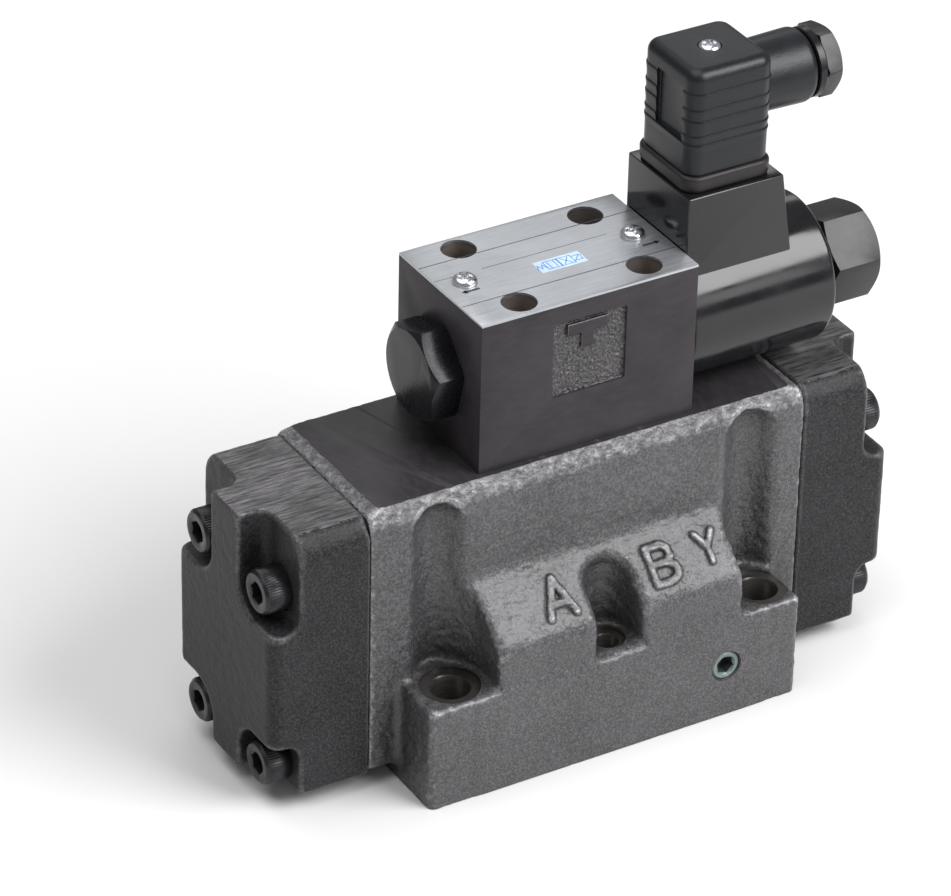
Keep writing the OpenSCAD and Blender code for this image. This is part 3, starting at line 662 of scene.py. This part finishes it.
def letters(g):
    up, out = slope_frame(g)
    best = None
    for cx, cy, half, strokes in LETTERS:
        for ax, ay, bx, by in strokes:
            vx, vy = bx - ax, by - ay
            px, py = g.x - cx - ax, up - cy - ay
            t = np.clip((px * vx + py * vy) / (vx * vx + vy * vy), 0, 1)
            d = np.hypot(px - t * vx, py - t * vy) - half
            best = d if best is None else np.minimum(best, d)
    return overlap(best, np.abs(out) - 1.15, 0.6)


def u_groove(g, x, y, r, roof, bed):
    """Distance to an upright groove that is open towards the outside and has a domed roof."""
    side = 1 if y > 0 else -1
    inward = np.minimum(side * g.y - abs(y), 0)
    d = np.hypot(np.hypot(g.x - x, inward), np.maximum(g.z - roof, 0))
    return overlap(d - r, bed - g.z, 2.0)


def build_casting(step):
    g = Field((BODY_LO[0] - 1.5, -FOOT_Y - 1.5, -1.8),
              (BODY_HI[0] + 1.5, FOOT_Y + 1.5, BODY_HI[2] + 2.5), step)
    d = g.box((BODY_LO[0] - 4, 0.3 - WALL_Y, BODY_LO[2] + 5),
              (BODY_HI[0] + 4, WALL_Y - 0.3, BODY_HI[2] + 9), 3.0)
    band = (BODY_HI[2] - SHOULDER_Z) / math.hypot(BODY_HI[2] - SHOULDER_Z, 3.6)
    for side in (-1, 1):
        slope = ((side * g.y - SHOULDER_Y) * band + (g.z - BODY_HI[2]) * math.sqrt(1 - band * band))
        d = overlap(d, slope, 1.6)
    for end, side in ((BODY_LO[0], -1), (BODY_HI[0], 1)):
        d = overlap(d, 0.93 * (g.z - BODY_HI[2] + 1.4) + 0.37 * side * (g.x - end), 0.8)
        d = overlap(d, side * (g.x - end) - 0.3, 1.6)
    foot = g.box((FOOT_LEFT + 0.2, 0.3 - FOOT_Y, -6), (FOOT_RIGHT - 0.2, FOOT_Y - 0.3, SEAT_Z), 2.2)
    d = union(d, foot, 3.0)
    for side in (-1, 1):
        d = union(d, slope_boss(g, side), 2.5)
    for x, r in ((-HALF_BOLT_X, 10.4), (HALF_BOLT_X, 11.0)):
        for y in (-HALF_BOLT_Y, HALF_BOLT_Y):
            d = carve(d, u_groove(g, x, y, r, 78.5, SEAT_Z), 2.2)
        for y in (-GROOVE_Y, GROOVE_Y):
            d = carve(d, u_groove(g, x, y, 7.9, 80.5, SEAT_Z), 1.3)
    for x, y, _ in BOLTS:
        d = carve(d, u_groove(g, x, y, 7.2, 51.5, SEAT_Z), 3.2)
    return g.mesh("cast_body", union(d, letters(g), 0.6))


def machine_casting(cast):
    """The machined faces, seats, ports, holes and the spool bore, cut crisp into the casting."""
    limit = block("limit", (BODY_LO[0], -FOOT_Y, 0), (BODY_HI[0], FOOT_Y, BODY_HI[2]))
    common(cast, limit, solver="MANIFOLD")
    seat = SEAT_FACE_Z
    large_hole = [(-1, 5.5), (seat - 0.6, 5.5), (seat, 6.0), (seat, 8.75), (60, 8.75)]
    small_hole = [(-1, 3.3), (seat - 0.4, 3.3), (seat, 3.6), (seat, 5.4), (45, 5.4)]
    port = [(-1, 13.5), (1.9, 13.5), (1.9, 8.75), (35, 8.75), (36, 7.5)]
    control_port = [(-1, 6.3), (1.5, 6.3), (1.5, 3.15), (62, 3.15)]
    tools = [lathe("t", large_hole, "z", (x, y, 0)) for x, y in BOLT_HOLES]
    tools += [lathe("t", small_hole, "z", (x, y, 0), 64) for x, y, _ in BOLTS]
    tools += [lathe("t", port, "z", (x, y, 0)) for x, y in MAIN_PORTS]
    tools += [lathe("t", control_port, "z", (x, y, 0), 48) for x, y in CONTROL_PORTS]
    cut(cast, join("tools", tools), solver="MANIFOLD")
    bore = rod("bore", "x", (BODY_LO[0] - 2, 0, SPOOL_AXIS), 12.5, BODY_HI[0] - BODY_LO[0] + 4)
    socket = lathe("t", [(-1, 4.9), (0.1, 4.9), (0.5, 4.5), (9, 4.5)], "y", (34.4, -FOOT_Y, 16.8), 64)
    return cut(cast, join("tools", [bore, socket]), solver="MANIFOLD")


def sort_faces(obj, test, index):
    """Gives material slot index to each face for which test(centre, normal) is true."""
    for face in obj.data.polygons:
        if test(face.center / MM, face.normal):
            face.material_index = index


cast = build_casting(0.5)
roughen(cast, 0.2, 2.6, 1)
mark_proud(cast)
# Painted highlight: the shoulder band above this height is lightened through the proud attribute.
paint_shoulder_highlight(cast, SHOULDER_Z - 0.3)
machine_casting(cast)
paint(cast, BODY_IRON)
cast.data.materials.append(BODY_MACHINED)
cast.data.materials.append(BORE_METAL)
sort_faces(cast, lambda c, n: abs(n.z) > 0.999 and (c.z > BODY_HI[2] - 0.01 or c.z < 0.01), 1)
sort_faces(cast, lambda c, n: abs(n.x) > 0.999 and (c.x > BODY_HI[0] - 0.01 or c.x < BODY_LO[0] + 0.01), 1)


def in_hole(c, n):
    """The bored walls and seats of the mounting holes."""
    below = c.z < SEAT_FACE_Z + 0.01
    upright = abs(n.z) < 0.1
    for x, y in BOLT_HOLES:
        r = math.hypot(c.x - x, c.y - y)
        if r < 8.72 and below or abs(r - 8.74) < 0.05 and upright:
            return True
    for x, y, _ in BOLTS:
        r = math.hypot(c.x - x, c.y - y)
        if r < 5.38 and below or abs(r - 5.39) < 0.04 and upright:
            return True
    return False


sort_faces(cast, in_hole, 2)
smooth(cast, 50)
place(cast, "main_body")


# ---- End covers ----
def build_cover(name, step):
    """A cover in its own frame: seam at x = 0, outwards along +x."""
    t = RIGHT_HI[0] - BODY_HI[0]
    g = Field((-1.2, -WALL_Y - 1.2, COVER_LO[2] - 1.2), (t + 1.2, WALL_Y + 1.2, COVER_HI[2] + 1.2), step)
    d = g.box((0.12, 0.12 - WALL_Y, COVER_LO[2] + 0.12), (t + 9, WALL_Y - 0.12, COVER_HI[2] + 9), 1.1)
    d = overlap(d, g.x - t + 0.1, 1.8)
    corner = g.box((-20, -WALL_Y + 0.1, -20), (t - 0.1, WALL_Y - 0.1, 120), 4.2)
    d = overlap(d, corner)
    d = overlap(d, g.z - COVER_HI[2] + 0.12, 1.4)
    for side in (-1, 1):
        d = overlap(d, ((side * g.y - 23.8) * 0.79 + (g.z - COVER_HI[2]) * 0.61), 1.8)
        for z, up in ((SCREW_ZS[0], -1), (SCREW_ZS[1], 1)):
            dy = np.maximum(SCREW_Y - side * g.y, 0)
            dz = np.maximum((z - g.z) * up, 0)
            pocket = overlap(np.hypot(dy, dz) - 9.6, t - SCREW_FLOOR - g.x, 5.5)
            d = carve(d, pocket, 1.5)
    obj = g.mesh(name, d)
    roughen(obj, 0.08, 3.5, 2)
    mark_proud(obj)
    common(obj, block("limit", (0, -WALL_Y, COVER_LO[2]), (t, WALL_Y, COVER_HI[2])), solver="MANIFOLD")
    tools = [rod("t", "x", (-2, 0, SPOOL_AXIS), 13.5, 26)]
    floor = t - SCREW_FLOOR
    screw_hole = [(-2, 4.4), (floor, 4.4), (floor, 7.1), (t + 4, 7.1)]
    for y in (-SCREW_Y, SCREW_Y):
        for z in SCREW_ZS:
            tools.append(lathe("t", screw_hole, "x", (0, y, z), 64))
    cut(obj, join("tools", tools), solver="MANIFOLD")
    return obj


def stand(obj, x, flipped):
    """Moves a cover or screw set from its own frame to its end of the valve."""
    turn = Matrix.Scale(-1, 4, (1, 0, 0)) if flipped else Matrix.Identity(4)
    obj.data.transform(Matrix.Translation((x * MM, 0, 0)) @ turn)
    if flipped:
        obj.data.flip_normals()
    return obj


def mirror_of(obj, name):
    twin = bpy.data.objects.new(name, obj.data.copy())
    bpy.context.scene.collection.objects.link(twin)
    return twin


right_cover = build_cover("right_cover_casting", 0.45)
left_cover = mirror_of(right_cover, "left_cover_casting")
for cover, x, flipped, node in ((right_cover, BODY_HI[0], False, "right_end_cover"),
                                (left_cover, BODY_LO[0], True, "left_end_cover")):
    stand(cover, x, flipped)
    paint(cover, COVER_IRON)
    cover.data.materials.append(COVER_SANDED)
    sort_faces(cover, lambda c, n: n.z > 0.93 and c.z > COVER_HI[2] - 1.0, 1)
    smooth(cover, 50)
    place(cover, node)


# ---- Screws ----
def knurl(k, h, r):
    return r - 0.16 if r > 6.3 and k % 2 else r


def socket_head(name, head_r, head_h, shank_r, shank, key, ridges=56):
    """A knurled socket-head screw along +z, with its head standing on z = 0."""
    body = lathe(name, [(-shank, shank_r), (0, shank_r), (0, head_r * 0.95), (0.35, head_r),
                        (head_h - 1.1, head_r), (head_h - 0.75, head_r * 0.97), (head_h, head_r * 0.87)],
                 "z", (0, 0, 0), ridges * 2, radius_at=knurl)
    corner = key / math.sqrt(3)
    socket = hexagon("t", "z", (0, 0, head_h * 0.45), key, head_h, math.radians(12))
    mouth = lathe("t", [(head_h - 0.45, corner * 0.86), (head_h + 0.4, corner * 1.25)], "z", (0, 0, 0), 48)
    cut(body, socket, mouth)
    return body


def screw_set():
    one = socket_head("s", 6.5, 8.0, 3.95, 20, 6.0)
    out = []
    for i, y in enumerate((-SCREW_Y, SCREW_Y)):
        for j, z in enumerate(SCREW_ZS):
            copy = bpy.data.objects.new("s", one.data.copy())
            bpy.context.scene.collection.objects.link(copy)
            turn = Matrix.Rotation(0.5 + 1.3 * i + 2.1 * j, 4, "X") @ Matrix.Rotation(math.pi / 2, 4, "Y")
            floor = RIGHT_HI[0] - BODY_HI[0] - SCREW_FLOOR
            copy.data.transform(Matrix.Translation(Vector((floor, y, z)) * MM) @ turn)
            out.append(copy)
    bpy.data.objects.remove(one)
    return join("right_screws", out)


right_screws = screw_set()
left_screws = mirror_of(right_screws, "left_screws")
for screws, x, flipped, node in ((right_screws, BODY_HI[0], False, "right_cover_screws"),
                                 (left_screws, BODY_LO[0], True, "left_cover_screws")):
    stand(screws, x, flipped)
    paint(screws, SCREW_BLACK)
    smooth(screws, 40)
    place(screws, node)


# ---- Pilot valve body ----
WELLS = ((-20.25, 16.25), (-20.25, -16.25), (20.25, 15.5), (20.25, -15.5))
PLATE_SCREWS = ((-27.8, 0), (26.2, 0))
RECESS = (-12.7, 10.7, 107.6, 131.0)


def build_pilot():
    body = block("pilot_block", PILOT_LO, PILOT_HI)
    front = PILOT_LO[1]
    hollow = block("t", (RECESS[0], front - 2, RECESS[2]), (RECESS[1], front + 1.9, RECESS[3]))
    bevel(hollow, 0.9, 4, 60)
    tools = [hollow]
    well = [(90, 2.65), (100, 2.65), (100, 5), (136.1, 5), (137.5, 5.9)]
    tools += [lathe("t", well, "z", (x, y, 0), 64) for x, y in WELLS]
    for x, h in ((PILOT_LO[0] - 2, 10.2), (PILOT_HI[0] - 8.2, 10.2)):
        tools.append(rod("t", "x", (x, 0, PILOT_AXIS), 10.0, h, 96))
    cut(body, *tools)
    through = rod("t", "x", (PILOT_LO[0] - 2, 0, PILOT_AXIS), 6.0, PILOT_HI[0] - PILOT_LO[0] + 4)
    cut(body, through)
    return bevel(body, 0.28, 2, 40)


def build_letter_panel(step):
    """Rough-cast floor of the recess on the front, with the smooth raised letter T."""
    front = PILOT_LO[1]
    g = Field((RECESS[0] - 0.5, front - 0.4, RECESS[2] - 0.5),
              (RECESS[1] + 0.5, front + 2.4, RECESS[3] + 0.5), step)
    square = np.maximum(np.abs(g.x - (RECESS[0] + RECESS[1]) / 2) - (RECESS[1] - RECESS[0]) / 2,
                        np.abs(g.z - (RECESS[2] + RECESS[3]) / 2) - (RECESS[3] - RECESS[2]) / 2)
    floor = front + 0.95 - g.y
    grit = np.zeros((g.x.size, 1, g.z.size), np.float32)
    for i, x in enumerate(g.x.ravel()):
        for k, z in enumerate(g.z.ravel()):
            grit[i, 0, k] = noise.fractal(Vector((x * 1.15, 3.3, z * 1.15)), 0.7, 2.2, 3)
    d = floor + grit * 0.36
    d = union(d, -square - 0.05 + 0 * g.y, 0.7)
    bar = g.box((-8.2, front + 0.04, 126), (4.8, front + 3, 129.6), 0.35)
    stem = g.box((-3.7, front + 0.04, 121.2), (0.3, front + 3, 127), 0.35)
    d = union(d, union(bar, stem, 0.5), 0.25)
    d = overlap(d, square + 0.02 + 0 * g.y)
    return g.mesh("letter_panel", overlap(overlap(d, front + 0.02 - g.y), g.y - front - 1.88))


def in_well(c, n):
    """The bored walls of the screw wells."""
    return abs(n.z) < 0.5 and any(math.hypot(c.x - x, c.y - y) < 5.2 for x, y in WELLS)


def is_flat_front(c, n):
    return n.y < -0.9 and c.y < PILOT_LO[1] + 0.15


pilot = build_pilot()
paint(pilot, PILOT_IRON)
pilot.data.materials.append(WELL_METAL)
sort_faces(pilot, in_well, 1)
smooth(pilot, 30)
place(pilot, "pilot_body")
panel = build_letter_panel(0.16)
mark_proud(panel, 6)
paint(panel, RECESS_IRON)
panel.data.materials.append(PILOT_IRON)
sort_faces(panel, is_flat_front, 1)
smooth(panel, 60)
place(panel, "pilot_body")


# ---- Nameplate ----
def build_plate():
    plate = block("nameplate_sheet", (PILOT_LO[0], PILOT_LO[1], PILOT_HI[2]),
                  (PILOT_HI[0], PILOT_HI[1], PLATE_TOP))
    bevel(plate, 0.15, 2, 60)
    tools = [rod("t", "z", (x, y, PILOT_HI[2] - 1), 5.1, 4, 72) for x, y in WELLS]
    tools += [rod("t", "z", (x, y, PILOT_HI[2] - 1), 1.6, 4, 32) for x, y in PLATE_SCREWS]
    return cut(plate, *tools)


def flat_print(name, outlines, material):
    """Thin raised ink on the nameplate, from outlines of (x, y) corners."""
    bm = bmesh.new()
    for outline in outlines:
        low = [bm.verts.new((x * MM, y * MM, (PLATE_TOP - 0.02) * MM)) for x, y in outline]
        face = bm.faces.new(low)
        made = bmesh.ops.extrude_face_region(bm, geom=[face])
        for v in made["geom"]:
            if isinstance(v, bmesh.types.BMVert):
                v.co.z = (PLATE_TOP + 0.03) * MM
    piece = from_bmesh(name, bm)
    paint(piece, material)
    return place(piece, "nameplate")


def bar(x0, y0, x1, y1, w):
    v = Vector((x1 - x0, y1 - y0)).normalized() * w / 2
    n = Vector((-v.y, v.x))
    return [(x0 - v.x + n.x, y0 - v.y + n.y), (x0 - v.x - n.x, y0 - v.y - n.y),
            (x1 + v.x - n.x, y1 + v.y - n.y), (x1 + v.x + n.x, y1 + v.y + n.y)]


def arrow(x, y, way, length=5.2):
    tip = x + way * length / 2
    return [bar(x - way * length / 2, y, tip - way * 1.2, y, 0.9),
            [(tip, y), (tip - way * 1.7, y + 0.95), (tip - way * 1.7, y - 0.95)]]


def valve_symbol(x, y):
    """Two-position valve diagram: two squares, flow arrows, a spring and a coil box."""
    lines = []
    for cx in (x - 2.2, x + 2.2):
        for a, b, c, d in ((-2.1, -2, 2.1, -2), (-2.1, 2, 2.1, 2), (-2.1, -2, -2.1, 2), (2.1, -2, 2.1, 2)):
            lines.append(bar(cx + a, y + b, cx + c, y + d, 0.26))
    lines += [bar(x - 3.2, y - 1.7, x - 3.2, y + 1.4, 0.3), bar(x - 1.2, y + 1.7, x - 1.2, y - 1.4, 0.3)]
    lines += [bar(x + 1.1, y - 1.6, x + 3.3, y + 1.5, 0.3), bar(x + 3.3, y - 1.6, x + 1.1, y + 1.5, 0.3)]
    lines += [bar(x + 4.4, y - 1.2, x + 7, y - 1.2, 0.26), bar(x + 4.4, y + 1.2, x + 7, y + 1.2, 0.26),
              bar(x + 7, y - 1.2, x + 7, y + 1.2, 0.26), bar(x + 4.8, y - 1, x + 6.6, y + 1, 0.26)]
    for k in range(4):
        way = 1 if k % 2 else -1
        lines.append(bar(x - 4.4 - 0.7 * k, y + way, x - 5.1 - 0.7 * k, y - way, 0.26))
    return lines


plate = build_plate()
paint(plate, PLATE_METAL)
smooth(plate, 30)
place(plate, "nameplate")
x0, x1 = PILOT_LO[0] + 0.4, PILOT_HI[0] - 0.4
flat_print("plate_lines", [bar(x0, 12, x1, 12, 0.28), bar(x0, -11.3, x1, -11.3, 0.28),
                           bar(x0, 3.9, -23.9, 3.9, 0.18), bar(-20, 3.9, 20, 3.9, 0.16)], PRINT_DARK)
flat_print("plate_arrows", arrow(-29, -4.8, -1) + arrow(28.5, -6.4, 1), PRINT_DARK)
flat_print("plate_patch", [[(-6.6, -6.2), (8, -6.2), (8, -0.2), (-6.6, -0.2)]], PRINT_PALE)
symbol = flat_print("plate_symbol", valve_symbol(0.4, -3.2), PRINT_BLUE)
symbol.data.transform(Matrix.Translation((0, 0, 0.02 * MM)))


def pan_screw(name, x, y, z, r, turn):
    """A zinc cross-recess pan head."""
    profile = [(-4, 1.4), (0, 1.4), (0, r * 0.96), (0.25, r), (0.9, r * 0.985), (1.4, r * 0.9),
               (1.8, r * 0.74), (2.02, r * 0.5), (2.1, r * 0.2)]
    head = lathe(name, profile, "z", (x, y, z), 64)
    slots = []
    for k in range(2):
        slot = block("t", (-r * 0.66, -r * 0.15, 0), (r * 0.66, r * 0.15, 3))
        bevel(slot, 0.12, 2, 60)
        slot.data.transform(Matrix.Translation(Vector((x, y, z + 0.8)) * MM)
                            @ Matrix.Rotation(turn + k * math.pi / 2, 4, "Z"))
        slots.append(slot)
    core = lathe("t", [(0.7, r * 0.1), (1.5, r * 0.28), (3, r * 0.34)], "z", (x, y, z), 24, turn)
    cut(head, *slots, core)
    return head


heads = [pan_screw("s", x, y, PLATE_TOP, 3.5, 0.5 + i) for i, (x, y) in enumerate(PLATE_SCREWS)]
plate_heads = join("plate_screws", heads)
paint(plate_heads, ZINC)
smooth(plate_heads, 35)
place(plate_heads, "nameplate_screws")


# ---- Hexagonal end plug ----
def hex_bar(name, x0, x1, flats, turn, z, chamfer0, chamfer1):
    """A hexagonal bar along x whose corners are turned off at either end."""
    solid = hexagon(name, "x", (x0, 0, z), flats, x1 - x0, turn)
    r = flats / math.sqrt(3)
    cap = [(x0, flats * 0.495), (x0 + chamfer0, r + 0.05), (x1 - chamfer1, r + 0.05), (x1, flats * 0.495)]
    return common(solid, lathe("t", cap, "x", (0, 0, z), 128))


def hex_turn(degrees):
    """Turn of a hexagon along x whose corner stands at this angle from +y towards +z."""
    return math.radians(90 + degrees)


def build_end_plug():
    x = PILOT_LO[0]
    solid = hex_bar("end_plug", x - 9.4, x - 0.02, 25.6, hex_turn(45), PILOT_AXIS, 1.5, 0.5)
    bevel(solid, 0.22, 2, 20)
    thread = rod("t", "x", (x - 1, 0, PILOT_AXIS), 9.7, 8, 64)
    hollow = lathe("t", [(x - 5.6, 6.7), (x + 9, 6.7)], "x", (0, 0, PILOT_AXIS), 48)
    unite(solid, thread)
    return cut(solid, hollow)


end_plug = build_end_plug()
paint(end_plug, PLUG_STEEL)
smooth(end_plug, 28)
place(end_plug, "pilot_end_plug")

# ---- Coil, terminal box and coil nut ----
def arc(centre, radius, start, end, steps):
    """Points (h, r) along an arc, with angles in degrees from +h towards +r."""
    out = []
    for i in range(steps + 1):
        a = math.radians(start + (end - start) * i / steps)
        out.append((centre[0] + radius * math.cos(a), centre[1] + radius * math.sin(a)))
    return out


def build_coil():
    x0, x1 = COIL_LO[0], COIL_HI[0]
    r = (COIL_HI[1] - COIL_LO[1]) / 2
    profile = [(x0, r - 1)] + arc((x0 + 0.8, r - 0.8), 0.8, 170, 90, 5)
    profile += arc((x1 - 1.6, r - 1.6), 1.6, 90, 0, 8)
    coil = lathe("coil_moulding", profile, "x", (0, 0, PILOT_AXIS), 160)
    half, top = 15.8, COIL_HI[2]
    outline = [(x0, PILOT_AXIS), (71.2, PILOT_AXIS), (65.0, top), (x0, top)]
    points = [(x, y, z) for y in (-half, half) for x, z in outline]
    faces = [(0, 1, 2, 3), (7, 6, 5, 4)] + [(i, i + 4, (i + 1) % 4 + 4, (i + 1) % 4) for i in range(4)]
    box = mesh_object("t", points, faces)
    bm = bmesh.new()
    bm.from_mesh(box.data)
    bmesh.ops.recalc_face_normals(bm, faces=bm.faces)
    bm.to_mesh(box.data)
    bm.free()
    bevel(box, 0.55, 3, 30)
    unite(coil, box)
    bore = lathe("t", [(x0 - 1, 10.0), (x1 + 1, 10.0)], "x", (0, 0, PILOT_AXIS), 96)
    well = block("t", (37.1, -11.6, top - 6), (60.3, 11.6, top + 1))
    return cut(coil, bore, well)


def build_coil_nut():
    nut = hex_bar("coil_nut_hex", 86.4, NUT_HI[0] - 0.02, 25.6, hex_turn(49), PILOT_AXIS, 0.9, 1.6)
    bevel(nut, 0.45, 3, 25)
    collar = lathe("t", [(NUT_LO[0] + 0.02, 13.2)] + arc((NUT_LO[0] + 0.8, 13.7), 0.7, 180, 90, 4)
                   + [(85.2, 14.4), (86.0, 13.7), (87.0, 12.2)], "x", (0, 0, PILOT_AXIS), 128)
    unite(nut, collar)
    inner = lathe("t", [(80, 9.8), (84, 9.8), (84, 9.1), (98.1, 9.1), (98.1, 5), (102.1, 5), (103, 5.9)],
                  "x", (0, 0, PILOT_AXIS), 64)
    return cut(nut, inner)


coil = build_coil()
paint(coil, GLOSS_BLACK)
smooth(coil, 28)
place(coil, "coil_housing", "coil")
coil_nut = build_coil_nut()
paint(coil_nut, NUT_BLACK)
smooth(coil_nut, 28)
place(coil_nut, "coil_nut")


# ---- Plug connector ----
PLUG_HALF = 13.7
PLUG_X = HOUSING_LO[0] + PLUG_HALF
RIB_ZS = (184.5, 179.5, 176.0, 171.4, 168.7)


def rounded_stack(name, cx, half, r, layers, steps=10):
    """A square tower with rounded corners, from (z, inset) layers, bottom to top."""
    points, faces = [], []
    for z, inset in layers:
        h, rr = half - inset, max(r - inset, 0.3)
        for sx, sy, start in ((1, 1, 0), (-1, 1, 90), (-1, -1, 180), (1, -1, 270)):
            for i in range(steps + 1):
                a = math.radians(start + 90 * i / steps)
                points.append((cx + sx * (h - rr) + rr * math.cos(a), sy * (h - rr) + rr * math.sin(a), z))
    n = 4 * (steps + 1)
    for j in range(len(layers) - 1):
        for k in range(n):
            m = (k + 1) % n
            faces.append((j * n + k, j * n + m, (j + 1) * n + m, (j + 1) * n + k))
    faces.append(tuple(range(n - 1, -1, -1)))
    faces.append(tuple((len(layers) - 1) * n + k for k in range(n)))
    return mesh_object(name, points, faces)


def build_gasket():
    z0, z1 = GASKET_LO[2], GASKET_HI[2]
    layers = [(z0, 0.9), (z0 + 0.3, 0.45), (z0 + 0.7, 0.25), (z0 + 1.2, 0.1), (z1 - 1.2, 0.02),
              (z1 - 0.8, 0.06), (z1 - 0.35, 0.3), (z1 - 0.1, 0.7), (z1, 1.3)]
    gasket = rounded_stack("plug_flange", PLUG_X, 14.3, 4.6, layers)
    return cut(gasket, block("t", (PLUG_X - 11.5, -11.5, z0 - 1), (PLUG_X + 11.5, 11.5, z1 + 1)))


def rib_layers():
    z0, z1, top_r = HOUSING_LO[2], HOUSING_HI[2], 3.3
    layers = [(z0, 0.9), (z0 + 0.25, 0.45), (z0 + 0.7, 0.3), (RIB_ZS[-1] - 2.6, 0.3)]
    lower = RIB_ZS[-1] - 2.6
    for z in reversed(RIB_ZS):
        gap = z - lower
        layers += [(z - gap * 0.45, 0.2), (z - 0.5, 0.0), (z - 0.25, 0.03), (z - 0.08, 0.12), (z, 0.32)]
        lower = z
    for i in range(9):
        a = math.radians(90 * i / 8)
        layers.append((z1 - top_r + top_r * math.sin(a), 0.3 + top_r - top_r * math.cos(a)))
    return layers


def build_plug():
    plug = rounded_stack("plug_moulding", PLUG_X, PLUG_HALF, 4.6, rib_layers())
    x0 = HOUSING_LO[0]
    z = (GLAND_LO[2] + GLAND_HI[2]) / 2
    profile = [(58, 10.4), (63.2, 10.5), (76.6, 10.8)] + arc((76.7, 8.2), 2.6, 90, 8, 8)
    boss = lathe("t", profile, "x", (0, 0, z), 96)
    unite(plug, boss)
    window = block("t", (x0 - 1, -8.4, 168.6), (x0 + 1.5, 4.9, 185.4))
    bevel(window, 0.3, 3, 60)
    tools = [window]
    tools.append(rod("t", "z", (PLUG_X, 0, HOUSING_HI[2] - 1.2), 3.42, 4, 64))
    tools.append(rod("t", "z", (PLUG_X, 0, HOUSING_HI[2] - 6), 1.7, 8, 32))
    tools.append(rod("t", "x", (66.5, 0, z), 8.0, 20, 64))
    tools.append(rod("t", "x", (55, 0, z), 5.0, 20, 48))
    tools.append(block("t", (PLUG_X - 11.6, -11.6, HOUSING_LO[2] - 1),
                       (PLUG_X + 11.6, 11.6, HOUSING_HI[2] - 3.4)))
    return cut(plug, *tools)


def build_gland_nut():
    z = (GLAND_LO[2] + GLAND_HI[2]) / 2
    nut = hex_bar("gland_hex", 81.9, GLAND_HI[0] - 0.02, 18.6, hex_turn(55), z, 0.3, 1.0)
    bevel(nut, 0.4, 3, 25)
    ring = [(79.5, 9.6), (79.8, 10.1), (81.6, 10.25), (82.0, 10.0), (82.4, 9.2)]
    collar = lathe("t", ring, "x", (0, 0, z), 96)
    neck = rod("t", "x", (74.3, 0, z), 7.9, 8, 64)
    unite(nut, collar, neck)
    return cut(nut, lathe("t", [(60, 5), (86.6, 5), (88, 6.6)], "x", (0, 0, z), 64))


gasket = build_gasket()
paint(gasket, GASKET)
smooth(gasket, 30)
place(gasket, "plug_gasket", "coil")
plug = build_plug()
paint(plug, PLUG_BLACK)
smooth(plug, 30)
place(plug, "plug_housing", "coil")
gland_nut = build_gland_nut()
paint(gland_nut, NUT_BLACK)
smooth(gland_nut, 28)
place(gland_nut, "gland_nut", "coil")
plug_screw = pan_screw("plug_cover_screw", PLUG_X, 0, HOUSING_HI[2] - 1.2, 3.3, 0.35)
paint(plug_screw, ZINC)
smooth(plug_screw, 35)
place(plug_screw, "plug_screw", "coil")


# ---- Socket plug in the foot ----
def build_socket_plug():
    y = -FOOT_Y + 0.4
    body = lathe("socket_plug", [(0, 4.0), (0.35, 4.4), (7, 4.45)], "y", (34.4, y, 16.8), 64)
    key = hexagon("t", "y", (34.4, y - 1, 16.8), 5.0, 5, 0.3)
    mouth = lathe("t", [(-0.6, 3.6), (0.45, 2.75)], "y", (34.4, y, 16.8), 48)
    return cut(body, key, mouth)


socket_plug = build_socket_plug()
paint(socket_plug, PLUG_ZINC)
smooth(socket_plug, 35)
place(socket_plug, "front_screw_plug")
